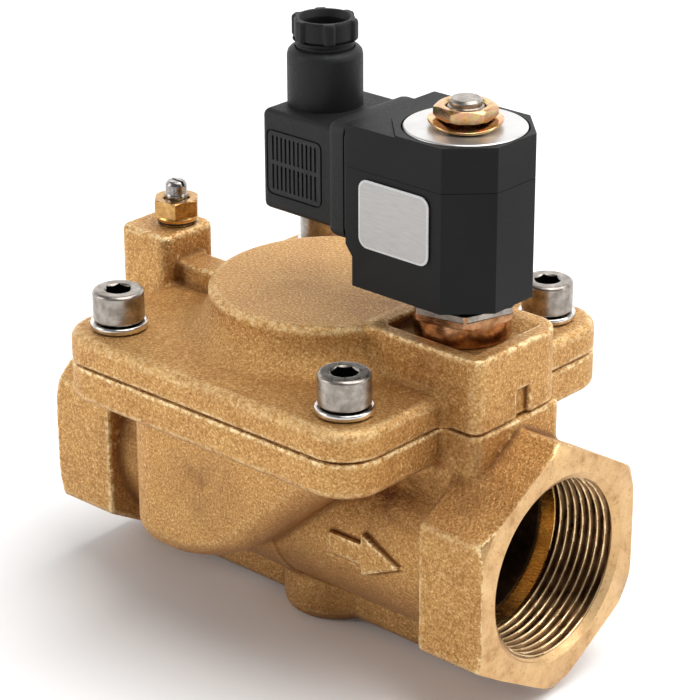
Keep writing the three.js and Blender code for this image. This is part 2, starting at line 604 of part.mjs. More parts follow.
const plungerSlots = [0, 90].map((turn) => box(
  -PLUNGER_SLOT.half, PLUNGER_SLOT.half, PLUNGER_SLOT.floorR, PLUNGER_R + OVER,
  PLUNGER_SLOT.bottomZ, PLUNGER_TOP_Z + OVER,
).rotate([0, 0, turn]));
steel('plunger', move(cut(
  disc(PLUNGER_R, PLUNGER_Z, PLUNGER_TOP_Z),
  disc(POCKET_R, POCKET_FLOOR_Z, PLUNGER_TOP_Z + OVER, COARSE),
  disc(PLUNGER_SEAL.r + GAP, PLUNGER_Z - OVER, PLUNGER_Z + PLUNGER_SEAL.depth + GAP, COARSE),
  ...plungerSlots,
), TOWER_X, 0, 0));
const plungerSeal = disc(
  PLUNGER_SEAL.r, PLUNGER_Z - PLUNGER_SEAL.stand, PLUNGER_Z + PLUNGER_SEAL.depth, COARSE,
);
rubber('plunger_seal', move(plungerSeal, TOWER_X, 0, 0));
const returnSpring = coilSpring(
  RETURN_SPRING.r, RETURN_SPRING.wireR, POCKET_FLOOR_Z + GAP, CORE_FACE_Z - GAP, RETURN_SPRING.turns,
);
stainless('plunger_spring', move(returnSpring, TOWER_X, 0, 0));
turnedBrass('pilot_nozzle', move(turned([
  [NOZZLE.holeR, NOZZLE.bottomZ],
  [PILOT_NOZZLE_R, NOZZLE.bottomZ],
  [PILOT_NOZZLE_R, NOZZLE.shoulderZ],
  [NOZZLE.tipR, NOZZLE.tipZ],
  [NOZZLE.holeR, NOZZLE.tipZ],
], COARSE), TOWER_X, 0, 0));
const tubeRing = ring(TUBE_RING.innerR, TUBE_RING.outerR, TUBE_RING.bottomZ, POCKET_Z);
rubber('tube_o_ring', move(tubeRing, TOWER_X, 0, 0));

// ---------------------------------------------------------------- coil
// The coil's octagonal front, with a squared rear that carries the connector seat.
function coilOutline() {
  return polygon([
    [COIL_BACK_X, -COIL_HALF],
    [COIL_FRONT_X - COIL_CHAMFER, -COIL_HALF],
    [COIL_FRONT_X, COIL_CHAMFER - COIL_HALF],
    [COIL_FRONT_X, COIL_HALF - COIL_CHAMFER],
    [COIL_FRONT_X - COIL_CHAMFER, COIL_HALF],
    [COIL_BACK_X, COIL_HALF],
  ]);
}

const PIN_T = 0.8;
const PIN_H = 6.3;
const PIN_TIP_X = 8;
const PIN_ROOT_X = 24.5;
const PIN_Y = 9;
const GROUND_DROP = 7.8;
const pinSpots = [
  ['contact_pin_1', -PIN_Y, CONNECTOR_Z, PIN_T, PIN_H],
  ['contact_pin_2', PIN_Y, CONNECTOR_Z, PIN_T, PIN_H],
  ['ground_pin', 0, CONNECTOR_Z - GROUND_DROP, PIN_H, PIN_T],
];
const SEAT = { bottomZ: 110.2, step: 2.6, topDrop: 0.5 };   // connector seat on the coil's rear
const COIL_ROOM = { neckR: 7.4, floorZ: 102.5, r: 15.1 };
const COIL_SCREW_R = 1.8;

// A round hole along X at the height of the connector's centre.
function connectorHole(r, x0, x1) {
  return move(alongX(disc(r, x0, x1, COARSE)), 0, 0, CONNECTOR_Z);
}

function pinBlade(y, z, wide, tall, grow, x0, x1) {
  return box(x0, x1, y - wide / 2 - grow, y + wide / 2 + grow, z - tall / 2 - grow, z + tall / 2 + grow);
}

function coilCase() {
  const seatTop = COIL_TOP_Z - SEAT.topDrop;
  const rear = box(CONNECTOR_X, COIL_BACK_X + OVER, -COIL_HALF, COIL_HALF, SEAT.bottomZ, seatTop);
  const step = polygon([[-OVER, 0], [SEAT.step, 0], [0, SEAT.step], [-OVER, SEAT.step]]);
  const stepWidth = 2 * (COIL_HALF + OVER);
  const rearStep = solid(new THREE.ExtrudeGeometry(step, { depth: stepWidth, bevelEnabled: false })
    .translate(0, 0, -stepWidth / 2)
    .rotateX(Math.PI / 2)
    .translate(CONNECTOR_X, 0, SEAT.bottomZ - SEAT.step));
  const corner = COIL_FRONT_X - 2 * COIL_HALF + COIL_CHAMFER;
  const back = COIL_FRONT_X - 2 * COIL_HALF;
  const lowerTop = prism(polygon([
    [CONNECTOR_X - OVER, -COIL_HALF - OVER], [corner + OVER, -COIL_HALF - OVER],
    [back, COIL_CHAMFER - COIL_HALF], [back, COIL_HALF - COIL_CHAMFER],
    [corner + OVER, COIL_HALF + OVER], [CONNECTOR_X - OVER, COIL_HALF + OVER],
  ]), seatTop, COIL_TOP_Z + OVER);
  const windingSpace = move(turned([
    [0, COIL_BOTTOM_Z - OVER], [COIL_ROOM.neckR, COIL_BOTTOM_Z - OVER], [COIL_ROOM.neckR, COIL_ROOM.floorZ],
    [COIL_ROOM.r, COIL_ROOM.floorZ], [COIL_ROOM.r, COIL_TOP_Z + OVER], [0, COIL_TOP_Z + OVER],
  ], SMOOTH), TOWER_X, 0, 0);
  const pinSlots = pinSpots.map(([, y, z, wide, tall]) => (
    pinBlade(y, z, wide, tall, GAP, CONNECTOR_X - OVER, PIN_ROOT_X + GAP)));
  const screwHole = connectorHole(COIL_SCREW_R, CONNECTOR_X - OVER, PIN_ROOT_X);
  const shell = join(prism(coilOutline(), COIL_BOTTOM_Z, COIL_TOP_Z), rear);
  return cut(shell, rearStep, lowerTop, windingSpace, screwHole, ...pinSlots);
}

blackPlastic('coil_case', coilCase());
const YOKE = { innerR: 13.2, outerR: 14.7, bottomZ: 105.3, topZ: 138.2 };
const BOBBIN = { innerR: 7.1, drumR: 8.2, flangeR: 12.8, flangeT: 1.6, bottomZ: 105.4, topZ: 138.1 };
const WINDING_R = 12.4;
const TOP_PLATE = { bottomZ: 138.9, holeR: 4.9, edge: 0.3 };
const bottomPlate = ring(COIL_ROOM.neckR - GAP, YOKE.outerR, COIL_ROOM.floorZ + GAP, YOKE.bottomZ - GAP);
steel('coil_bottom_plate', move(bottomPlate, TOWER_X, 0, 0));
steel('coil_yoke', move(ring(YOKE.innerR, YOKE.outerR, YOKE.bottomZ, YOKE.topZ, SMOOTH), TOWER_X, 0, 0));
blackPlastic('coil_bobbin', move(turned([
  [BOBBIN.innerR, BOBBIN.bottomZ],
  [BOBBIN.flangeR, BOBBIN.bottomZ],
  [BOBBIN.flangeR, BOBBIN.bottomZ + BOBBIN.flangeT],
  [BOBBIN.drumR, BOBBIN.bottomZ + BOBBIN.flangeT],
  [BOBBIN.drumR, BOBBIN.topZ - BOBBIN.flangeT],
  [BOBBIN.flangeR, BOBBIN.topZ - BOBBIN.flangeT],
  [BOBBIN.flangeR, BOBBIN.topZ],
  [BOBBIN.innerR, BOBBIN.topZ],
]), TOWER_X, 0, 0));
const winding = ring(
  BOBBIN.drumR + GAP, WINDING_R, BOBBIN.bottomZ + BOBBIN.flangeT + GAP, BOBBIN.topZ - BOBBIN.flangeT - GAP,
);
copper('coil_winding', move(winding, TOWER_X, 0, 0));
stainless('coil_top_plate', move(turned([
  [TOP_PLATE.holeR, TOP_PLATE.bottomZ],
  [PLATE_R, TOP_PLATE.bottomZ],
  [PLATE_R, COIL_TOP_Z],
  [PLATE_R - TOP_PLATE.edge, COIL_TOP_Z + TOP_PLATE.edge],
  [TOP_PLATE.holeR, COIL_TOP_Z + TOP_PLATE.edge],
], SMOOTH), TOWER_X, 0, 0));
const LOWER_SEAL = { innerR: 7.1, outerR: 11.6 };
const lowerSeal = ring(LOWER_SEAL.innerR, LOWER_SEAL.outerR, TUBE_HEX_TOP_Z + GAP, COIL_BOTTOM_Z - GAP);
rubber('coil_lower_seal', move(lowerSeal, TOWER_X, 0, 0));
pinSpots.forEach(([name, y, z, wide, tall]) => {
  stainless(name, pinBlade(y, z, wide, tall, 0, PIN_TIP_X, PIN_ROOT_X));
});

const LABEL = { x0: 23.4, x1: 45, z0: 111, z1: 128.2, corner: 2.6, thick: 0.3 };
const labelPlate = prism(roundedRect(LABEL.x0, LABEL.x1, LABEL.z0, LABEL.z1, LABEL.corner), 0, LABEL.thick)
  .rotate([90, 0, 0]);
stainless('rating_label', move(labelPlate, 0, -COIL_HALF - GAP, 0));

// The spring washer is bent across one diameter, so it rides on two low sides.
const WAVE = { innerR: 4.9, outerR: 9, thick: 0.6, rise: 1, facet: 4 };

function wavyWasher() {
  const outline = new THREE.Shape();
  outline.absarc(0, 0, WAVE.outerR, 0, 2 * Math.PI);
  const hole = new THREE.Path();
  hole.absarc(0, 0, WAVE.innerR, 0, 2 * Math.PI, true);
  outline.holes.push(hole);
  const settings = { depth: WAVE.thick, bevelEnabled: false, curveSegments: 12 };
  const flat = new THREE.ExtrudeGeometry(outline, settings);
  const bend = (p) => {
    const across = (p[0] * Math.cos(HEX_CORNER) + p[1] * Math.sin(HEX_CORNER)) / WAVE.outerR;
    p[2] += WAVE.rise * (1 - across * across);
  };
  return solid(flat).refineToLength(WAVE.facet).warp(bend);
}

const SPRING_WASHER_Z = COIL_TOP_Z + 2 * GAP;
yellowZinc('spring_washer', move(wavyWasher(), TOWER_X, 0, SPRING_WASHER_Z));
const COIL_NUT_Z = 143.5;
const COIL_NUT_H = 3;
const COIL_NUT = { af: 13.3, topR: 6.7, sideR: 9, chamfer: 0.9 };
const nutOutline = regular(6, COIL_NUT.af, HEX_CORNER + Math.PI / 6);
const nutBlank = prism(nutOutline, COIL_NUT_Z, COIL_NUT_Z + COIL_NUT_H);
const nutTurning = turned([
  [0, COIL_NUT_Z - OVER],
  [COIL_NUT.sideR, COIL_NUT_Z - OVER],
  [COIL_NUT.sideR, COIL_NUT_Z + COIL_NUT_H - COIL_NUT.chamfer],
  [COIL_NUT.topR, COIL_NUT_Z + COIL_NUT_H],
  [0, COIL_NUT_Z + COIL_NUT_H],
]);
yellowZinc('coil_nut', move(cut(
  nutBlank.intersect(nutTurning),
  bore(STUD_R + GAP, COIL_NUT_Z - OVER, COIL_NUT_Z + COIL_NUT_H + OVER),
), TOWER_X, 0, 0));

// ---------------------------------------------------------------- connector plug
const PLUG_WALL = 2;
const PLUG_CAVITY_X = PLUG_BACK_X + PLUG_WALL;
const GLAND_BORE_R = 7.4;
const BLOCK_INSERT_X = 1.5;
const PLUG_SCREW_R = 1.4;
const PLUG_EDGE = 0.8;
const PLUG_CORNER_R = 2.2;
const SKIRT = { half: 14.2, bottomZ: 109.6, topZ: 139, corner: 3.5 };
const PLUG_CAVITY_HALF = 11.4;
const TOWER = { bury: 5, shoulder: 1.6, edge: 0.5 };
const WIRE_BORE_R = 5.4;
const GROMMET_SEAT_Z = 139.5;

function plugHousing() {
  const bodySection = roundedRect(-PLUG_TOP_Z, -PLUG_BOTTOM_Z, -PLUG_HALF, PLUG_HALF, PLUG_CORNER_R);
  const body = alongX(softPlate(bodySection, PLUG_BACK_X, PLUG_STEP_X + 2 * OVER, PLUG_EDGE));
  const skirtSection = roundedRect(-SKIRT.topZ, -SKIRT.bottomZ, -SKIRT.half, SKIRT.half, SKIRT.corner);
  const skirt = alongX(softPlate(skirtSection, PLUG_STEP_X, PLUG_FACE_X, PLUG_EDGE));
  const tower = move(turned([
    [0, PLUG_TOP_Z - TOWER.bury],
    [GLAND_R, PLUG_TOP_Z - TOWER.bury],
    [GLAND_R, GLAND_TOWER_Z - TOWER.shoulder],
    [GLAND_R - TOWER.edge, GLAND_TOWER_Z - TOWER.edge],
    [GLAND_R - TOWER.shoulder, GLAND_TOWER_Z],
    [0, GLAND_TOWER_Z],
  ]), GLAND_X, 0, 0);
  const cavity = box(
    PLUG_CAVITY_X, PLUG_FACE_X + OVER,
    -PLUG_CAVITY_HALF, PLUG_CAVITY_HALF,
    PLUG_BOTTOM_Z + PLUG_WALL, PLUG_TOP_Z - PLUG_WALL,
  );
  const glandBore = move(turned([
    [0, CONNECTOR_Z], [WIRE_BORE_R, CONNECTOR_Z], [WIRE_BORE_R, GROMMET_SEAT_Z],
    [GLAND_BORE_R, GROMMET_SEAT_Z], [GLAND_BORE_R, GLAND_TOWER_Z + OVER], [0, GLAND_TOWER_Z + OVER],
  ]), GLAND_X, 0, 0);
  const screwHole = connectorHole(PLUG_SCREW_R + GAP, PLUG_BACK_X - OVER, PLUG_CAVITY_X + OVER);
  return cut(join(body, skirt, tower), cavity, glandBore, screwHole);
}

blackPlastic('plug_housing', plugHousing());

// The insert that grips the pins: one clamp chamber behind each blade.
const INSERT = { half: 11, gap: 0.6 };
const CLAMP = { half: 1.4, high: 2.4, wireHalf: 0.7, wireHigh: 1.5, wireDepth: 3 };
const GROUND_RELIEF_HALF = 3.6;

// A box along X around one pin's centre line.
function aroundPin(x0, x1, y, z, half, high) {
  return box(x0, x1, y - half, y + half, z - high, z + high);
}

function terminalBlock() {
  const insert = box(
    BLOCK_INSERT_X, PLUG_FACE_X - OVER,
    -INSERT.half, INSERT.half,
    PLUG_BOTTOM_Z + PLUG_WALL + INSERT.gap, PLUG_TOP_Z - PLUG_WALL - INSERT.gap,
  );
  const bladeSlots = pinSpots.map(([, y, z, wide, tall]) => (
    pinBlade(y, z, wide, tall, GAP, PIN_TIP_X - OVER, PLUG_FACE_X)));
  const chambers = pinSpots.map(([, y, z]) => (
    aroundPin(BLOCK_INSERT_X - OVER, PIN_TIP_X - GAP, y, z, CLAMP.half + GAP, CLAMP.high + GAP)));
  const screwHole = connectorHole(PLUG_SCREW_R + GAP, BLOCK_INSERT_X - OVER, PLUG_FACE_X);
  const groundRelief = box(
    PIN_TIP_X - OVER, PLUG_FACE_X,
    -GROUND_RELIEF_HALF, GROUND_RELIEF_HALF,
    PLUG_BOTTOM_Z, CONNECTOR_Z - GROUND_DROP,
  );
  return cut(insert, screwHole, groundRelief, ...bladeSlots, ...chambers);
}

blackPlastic('terminal_block', terminalBlock());
pinSpots.forEach(([, y, z], i) => {
  const clamp = aroundPin(BLOCK_INSERT_X + GAP, PIN_TIP_X - OVER, y, z, CLAMP.half, CLAMP.high);
  const wireEnd = PIN_TIP_X - CLAMP.wireDepth;
  const wireHole = aroundPin(BLOCK_INSERT_X - OVER, wireEnd, y, z, CLAMP.wireHalf, CLAMP.wireHigh);
  turnedBrass(`wire_clamp_${i + 1}`, clamp.subtract(wireHole));
});

const PLUG_HEAD = { x: PLUG_BACK_X - GAP, r: 2.8, thick: 2, edge: 0.3, slotHalf: 0.4 };
const PLUG_SCREW_END_X = PIN_ROOT_X - 2 * GAP;
const plugScrew = turned([
  [0, PLUG_HEAD.x - PLUG_HEAD.thick],
  [PLUG_HEAD.r - PLUG_HEAD.edge, PLUG_HEAD.x - PLUG_HEAD.thick],
  [PLUG_HEAD.r, PLUG_HEAD.x - PLUG_HEAD.thick + PLUG_HEAD.edge],
  [PLUG_HEAD.r, PLUG_HEAD.x],
  [PLUG_SCREW_R, PLUG_HEAD.x],
  [PLUG_SCREW_R, PLUG_SCREW_END_X],
  [0, PLUG_SCREW_END_X],
], COARSE);
const plugScrewSlot = box(
  PLUG_HEAD.x - PLUG_HEAD.thick - OVER, PLUG_HEAD.x - PLUG_HEAD.thick / 2,
  -PLUG_HEAD.r - OVER, PLUG_HEAD.r + OVER,
  CONNECTOR_Z - PLUG_HEAD.slotHalf, CONNECTOR_Z + PLUG_HEAD.slotHalf,
);
steel('plug_screw', move(alongX(plugScrew), 0, 0, CONNECTOR_Z).subtract(plugScrewSlot));

const GASKET = { inset: 0.3, windowHalf: 11 };
const gasketOutline = roundedRect(
  GASKET.inset - SKIRT.topZ, -SKIRT.bottomZ - GASKET.inset,
  GASKET.inset - SKIRT.half, SKIRT.half - GASKET.inset, SKIRT.corner - GASKET.inset,
);
rubber('connector_gasket', alongX(prism(gasketOutline, PLUG_FACE_X + GAP, CONNECTOR_X - GAP)).subtract(box(
  PLUG_FACE_X, CONNECTOR_X,
  -GASKET.windowHalf, GASKET.windowHalf,
  CONNECTOR_Z - GASKET.windowHalf, CONNECTOR_Z + GASKET.windowHalf,
)));

// ---------------------------------------------------------------- cable gland
const GLAND_NUT_Z = 153.5;
const GLAND_HOLE_R = 5.5;
const LOBES = 6;
const LOBE_R = 8.35;

const LOBE_STEPS = 48;
const NOTCH_DEPTH = 0.85;
const NOTCH_SHARE = 0.55;     // a higher share makes a narrower notch
const GLAND_SKIRT = { r: 7.1, bottomZ: 147.5 };
const GROMMET = { holeR: 3.6, r: 7, coneR: 5.2, coneH: 1.6, topZ: 146 };
const GLAND_WASHER = { bottomZ: GROMMET.topZ + GAP, thick: 0.9 };

// Outline of the nut: six broad lobes parted by shallow finger notches.
function lobedOutline() {
  const points = Array.from({ length: LOBE_STEPS }, (unused, i) => {
    const angle = (2 * Math.PI * i) / LOBE_STEPS;
    const share = Math.max(0, Math.cos(LOBES * (angle - HEX_CORNER)) - NOTCH_SHARE) / (1 - NOTCH_SHARE);
    const radius = LOBE_R - NOTCH_DEPTH * share;
    return [radius * Math.cos(angle), radius * Math.sin(angle)];
  });
  return polygon(points);
}

blackPlastic('gland_nut', move(cut(
  join(
    prism(lobedOutline(), GLAND_NUT_Z, GLAND_TOP_Z),
    disc(GLAND_SKIRT.r, GLAND_SKIRT.bottomZ, GLAND_NUT_Z + OVER),
  ),
  disc(GLAND_HOLE_R, GLAND_SKIRT.bottomZ - OVER, GLAND_TOP_Z + OVER),
), GLAND_X, 0, 0));
const glandWasher = ring(
  GLAND_HOLE_R, GROMMET.r, GLAND_WASHER.bottomZ, GLAND_WASHER.bottomZ + GLAND_WASHER.thick,
);
stainless('gland_washer', move(glandWasher, GLAND_X, 0, 0));
rubber('gland_grommet', move(turned([
  [GROMMET.holeR, GROMMET_SEAT_Z + GAP],
  [GROMMET.r, GROMMET_SEAT_Z + GAP],
  [GROMMET.r, GROMMET.topZ],
  [GROMMET.coneR, GROMMET.topZ],
  [GROMMET.holeR, GROMMET.topZ - GROMMET.coneH],
]), GLAND_X, 0, 0));

// ---------------------------------------------------------------- bleed screw
const BLEED_GASKET_Z = BLEED_Z + GAP;
const BLEED_COLLAR_Z = 94.5;
const BLEED_HEX_Z = 95.6;
const BLEED_NUT_TOP_Z = 100;
const BLEED_SCREW_R = 3;
const BLEED_BORE_R = 3.35;
const BLEED_TOP_Z = 104.6;
const BLEED_NUT = { af: 11, sideR: 7, topR: 5.5, chamfer: 0.8, collarR: 5.1, bottomZ: 86.8 };
const BLEED_GASKET_R = 5.2;
const STEM_RING = { z: 90, high: 1.3, grooveR: 1.9, innerR: 2.2 };
const BLEED_TIP = { z: 80.2, flatR: 1.2, flat: 0.7, cone: 2.2 };
const BLEED_HEAD = { r: 2.5, neck: 2.2, step: 0.4, slotDepth: 1.2, slotHalf: 0.4 };

const bleedGasket = ring(BLEED_THREAD_R + GAP, BLEED_GASKET_R, BLEED_GASKET_Z, BLEED_COLLAR_Z - GAP);
rubber('bleed_gasket', move(bleedGasket, BLEED_X, BLEED_Y, 0));
const bleedHexagon = prism(regular(6, BLEED_NUT.af, HEX_CORNER), BLEED_HEX_Z, BLEED_NUT_TOP_Z);
const bleedNutBlank = bleedHexagon.intersect(turned([
  [0, BLEED_HEX_Z - OVER],
  [BLEED_NUT.sideR, BLEED_HEX_Z - OVER],
  [BLEED_NUT.sideR, BLEED_NUT_TOP_Z - BLEED_NUT.chamfer],
  [BLEED_NUT.topR, BLEED_NUT_TOP_Z],
  [0, BLEED_NUT_TOP_Z],
]));
turnedBrass('bleed_gland_nut', move(cut(
  join(
    bleedNutBlank,
    disc(BLEED_NUT.collarR, BLEED_COLLAR_Z, BLEED_HEX_Z + OVER),
    disc(BLEED_THREAD_R, BLEED_NUT.bottomZ, BLEED_COLLAR_Z + OVER),
  ),
  disc(BLEED_BORE_R, BLEED_NUT.bottomZ - OVER, BLEED_NUT_TOP_Z + OVER),
), BLEED_X, BLEED_Y, 0));
const bleedStem = turned([
  [0, BLEED_TIP.z],
  [BLEED_TIP.flatR, BLEED_TIP.z + BLEED_TIP.flat],
  [BLEED_SCREW_R, BLEED_TIP.z + BLEED_TIP.cone],
  [BLEED_SCREW_R, STEM_RING.z - GAP],
  [STEM_RING.grooveR, STEM_RING.z - GAP],
  [STEM_RING.grooveR, STEM_RING.z + STEM_RING.high + GAP],
  [BLEED_SCREW_R, STEM_RING.z + STEM_RING.high + GAP],
  [BLEED_SCREW_R, BLEED_TOP_Z - BLEED_HEAD.neck],
  [BLEED_HEAD.r, BLEED_TOP_Z - BLEED_HEAD.neck + BLEED_HEAD.step],
  [BLEED_HEAD.r, BLEED_TOP_Z - BLEED_HEAD.step],
  [BLEED_HEAD.r - BLEED_HEAD.step, BLEED_TOP_Z],
  [0, BLEED_TOP_Z],
], COARSE);
const bleedSlot = box(
  -BLEED_SCREW_R - OVER, BLEED_SCREW_R + OVER,
  -BLEED_HEAD.slotHalf, BLEED_HEAD.slotHalf,
  BLEED_TOP_Z - BLEED_HEAD.slotDepth, BLEED_TOP_Z + OVER,
);
stainless('bleed_screw', move(bleedStem.subtract(bleedSlot), BLEED_X, BLEED_Y, 0));
const stemRingTop = STEM_RING.z + STEM_RING.high;
const stemRing = ring(STEM_RING.innerR, BLEED_BORE_R - GAP, STEM_RING.z, stemRingTop, COARSE);
rubber('bleed_stem_o_ring', move(stemRing, BLEED_X, BLEED_Y, 0));

export default valve;
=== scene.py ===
import json
import math

import bmesh
import bpy
import numpy as np
import openvdb
from mathutils import Matrix, Vector


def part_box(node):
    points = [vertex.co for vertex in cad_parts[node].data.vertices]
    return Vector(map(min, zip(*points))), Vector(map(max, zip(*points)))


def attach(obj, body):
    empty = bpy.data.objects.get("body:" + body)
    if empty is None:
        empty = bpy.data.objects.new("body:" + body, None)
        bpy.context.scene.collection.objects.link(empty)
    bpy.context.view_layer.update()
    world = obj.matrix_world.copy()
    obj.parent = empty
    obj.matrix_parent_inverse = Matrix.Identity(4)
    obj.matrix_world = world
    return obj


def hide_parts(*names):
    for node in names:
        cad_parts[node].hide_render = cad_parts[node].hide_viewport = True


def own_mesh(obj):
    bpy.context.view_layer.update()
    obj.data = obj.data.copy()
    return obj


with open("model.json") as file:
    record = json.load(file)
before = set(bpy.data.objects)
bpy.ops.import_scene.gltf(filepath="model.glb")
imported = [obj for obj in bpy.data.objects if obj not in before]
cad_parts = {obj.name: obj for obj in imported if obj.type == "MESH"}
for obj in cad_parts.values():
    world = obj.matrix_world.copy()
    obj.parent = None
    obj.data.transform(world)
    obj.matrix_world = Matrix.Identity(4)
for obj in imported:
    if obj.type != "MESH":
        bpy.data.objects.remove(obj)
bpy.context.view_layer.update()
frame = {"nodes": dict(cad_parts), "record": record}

MM = 0.001


# -------------------- places, from the CAD model
def box_mm(node):
    """Lowest and highest corner of a CAD node, in millimetres."""
    low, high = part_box(node)
    return np.array(low) / MM, np.array(high) / MM


body_high = box_mm("valve_body")[1]
cover_low, cover_high = box_mm("valve_cover")
coil_low, coil_high = box_mm("coil_case")
plug_high = box_mm("plug_housing")[1]
tube_low, tube_high = box_mm("armature_tube")
nut_low, nut_high = box_mm("bleed_gland_nut")

FACE_X = body_high[0]
HALF = body_high[1]
SEAM_Z = body_high[2]
FLOW_Z = 35.0
HEX_AF = 58.8
HEX_X = FACE_X - 20.0
PORT_R = 22.4
CHANNEL_R = 21.0
FLANGE_BOTTOM_Z = 62.0
COVER_Z = cover_low[2]
COVER_TOP_Z = 79.6
DOME_Z = 91.1
DOME_R = 31.5
TOWER_X = 42.0
BLOCK_TOP_Z = 91.0
BLOCK = (25.0, cover_high[0], -16.4, 16.4)
BLEED = (-54.6, -1.0)
BLEED_BLOCK = (cover_low[0], -47.5, -12.6, 6.2)
BLEED_TOP_Z = cover_high[2]
SCREW_PITCH = 76.2
SCREW_HALF = SCREW_PITCH / 2
TOWER = (TOWER_X, 0)
VIEW_TURN = math.radians(-47.9)    # turns a corner of each hexagon to the camera


# -------------------- camera, lights and floor
AZIMUTH = math.radians(42.06)
ELEVATION = math.radians(23.63)
ROLL = math.radians(-0.16)
DISTANCE = 0.6714
TARGET = Vector((0.00547, 0.0, 0.07332))
LENS_MM = 137.1
SENSOR_MM = 36.0
WALL_LEVEL = 0.86
WALL_TOP = 0.40               # sine of the elevation at which the walls begin to dim
CEILING_START = 0.74
CEILING_LEVEL = 0.26
CAMERA_SIDE = (0.67, -0.742, 0)
CAMERA_SIDE_LEVEL = 0.34
BACK_WALL = (-0.67, 0.742, 0)
BACK_WALL_LEVEL = 1.9
TOWARDS_CAMERA = Vector((
    math.sin(AZIMUTH) * math.cos(ELEVATION),
    -math.cos(AZIMUTH) * math.cos(ELEVATION),
    math.sin(ELEVATION),
))


def add_camera():
    data = bpy.data.cameras.new("camera")
    data.lens = LENS_MM
    data.sensor_width = SENSOR_MM
    data.clip_end = 20.0
    camera = bpy.data.objects.new("camera", data)
    bpy.context.scene.collection.objects.link(camera)
    camera.location = TARGET + TOWARDS_CAMERA * DISTANCE
    turn = (-TOWARDS_CAMERA).to_track_quat("-Z", "Y").to_matrix().to_4x4()
    camera.matrix_world = Matrix.Translation(camera.location) @ turn @ Matrix.Rotation(ROLL, 4, "Z")
    bpy.context.scene.camera = camera


def add_light(name, kind, place, aim, **settings):
    data = bpy.data.lights.new(name, kind)
    for key, value in settings.items():
        setattr(data, key, value)
    light = bpy.data.objects.new(name, data)
    bpy.context.scene.collection.objects.link(light)
    aim_along = (Vector(aim) - Vector(place)).normalized()
    turn = aim_along.to_track_quat("-Z", "Y").to_matrix().to_4x4()
    light.matrix_world = Matrix.Translation(place) @ turn


def add_softbox(name, place, width, height, power):
    at_valve = (0, 0, 0.08)
    add_light(name, "AREA", place, at_valve, shape="RECTANGLE", size=width, size_y=height, energy=power)


def add_lights():
    """A very broad, even light from far above, and a soft light on either side."""
    add_light("overhead_silk", "SUN", (0.3, 0.22, 0.92), (0, 0, 0), angle=math.radians(60), energy=3.1)
    add_softbox("left_softbox", (-0.72, -0.82, 0.5), 0.5, 0.7, 3.4)
    add_softbox("right_strip", (0.95, 0.55, 0.35), 0.3, 0.6, 1.6)


class Nodes:
    """Adds nodes to a material's or a world's tree."""

    def __init__(self, tree):
        self.tree = tree

    def fill(self, socket, value):
        """Links an output to the socket, or sets it to a number, a vector or a colour."""
        if isinstance(value, tuple):
            socket.default_value = value + (1.0,) * (len(socket.default_value) - len(value))
        elif isinstance(value, (int, float)):
            socket.default_value = value
        else:
            self.tree.links.new(value, socket)

    def node(self, kind, inputs=None, **settings):
        made = self.tree.nodes.new(kind)
        for key, value in settings.items():
            setattr(made, key, value)
        for key, value in (inputs or {}).items():
            self.fill(made.inputs[key], value)
        return made

    def levels(self, source, low_in, high_in, low_out, high_out, interpolation="LINEAR"):
        """Maps one range of values to another."""
        inputs = {"Value": source, "From Min": low_in, "From Max": high_in}
        inputs.update({"To Min": low_out, "To Max": high_out})
        return self.node("ShaderNodeMapRange", inputs, interpolation_type=interpolation).outputs["Result"]

    def times(self, a, b):
        return self.node("ShaderNodeMath", {0: a, 1: b}, operation="MULTIPLY").outputs[0]


def add_world():
    """Pale studio walls below a dimmer ceiling, dark on the side that the camera stands on."""
    world = bpy.data.worlds.new("studio")
    bpy.context.scene.world = world
    world.use_nodes = True
    nodes = Nodes(world.node_tree)
    where = nodes.node("ShaderNodeTexCoord").outputs["Generated"]

    def along(direction, *levels):
        facing = nodes.node("ShaderNodeVectorMath", {0: where, 1: direction}, operation="DOT_PRODUCT")
        return nodes.levels(facing.outputs["Value"], *levels, "SMOOTHSTEP")

    walls = along((0, 0, 1), WALL_TOP, CEILING_START, WALL_LEVEL, CEILING_LEVEL)
    camera_side = along(CAMERA_SIDE, 0.2, 0.9, 1.0, CAMERA_SIDE_LEVEL)
    back_wall = along(BACK_WALL, 0.3, 0.85, 1.0, BACK_WALL_LEVEL)
    background = world.node_tree.nodes["Background"]
    nodes.fill(background.inputs["Strength"], nodes.times(nodes.times(walls, camera_side), back_wall))
    nodes.fill(background.inputs["Color"], (1.0, 1.0, 1.0))


def add_floor(reach=3.0):
    mesh = bpy.data.meshes.new("floor")
    corners = [(-reach, -reach, 0), (reach, -reach, 0), (reach, reach, 0), (-reach, reach, 0)]
    mesh.from_pydata(corners, [], [(0, 1, 2, 3)])
    floor = bpy.data.objects.new("floor", mesh)
    bpy.context.scene.collection.objects.link(floor)
    paint = bpy.data.materials.new("floor_paint")
    paint.use_nodes = True
    shader = paint.node_tree.nodes["Principled BSDF"]
    shader.inputs["Base Color"].default_value = (0.9, 0.9, 0.9, 1)
    shader.inputs["Roughness"].default_value = 0.7
    mesh.materials.append(paint)


add_camera()
add_lights()
add_world()
add_floor()
bpy.context.scene.view_settings.view_transform = "Standard"


# -------------------- materials
NOISE_SPAN = (0.3, 0.7)       # nearly all of a noise lies between these
# Spots of darker brass and their colour: partly real stains, partly painted shade on faces that stand in
# shade.
STAIN_AND_SHADE_DARK = (0.20, 0.078, 0.032)
STAINS_AND_SHADE = (                    # centre in millimetres, reach and strength
    ((38.0, -22.0, 50.0), 14.0, 1.0),
    ((-8.0, -39.0, 44.0), 15.0, 0.6),
    ((10.0, -12.0, 3.0), 14.0, 0.45),
    ((-47.5, -2.0, 84.0), 12.0, 0.45),
    ((40.0, -24.0, 82.0), 10.0, 0.15),
    ((46.0, -16.0, 84.0), 13.0, 0.4),
    ((60.0, -16.0, 58.0), 19.0, 0.5),
    ((20.0, 0.0, 91.0), 16.0, 0.45),
    ((-48.0, -24.0, 40.0), 14.0, 0.55),
)


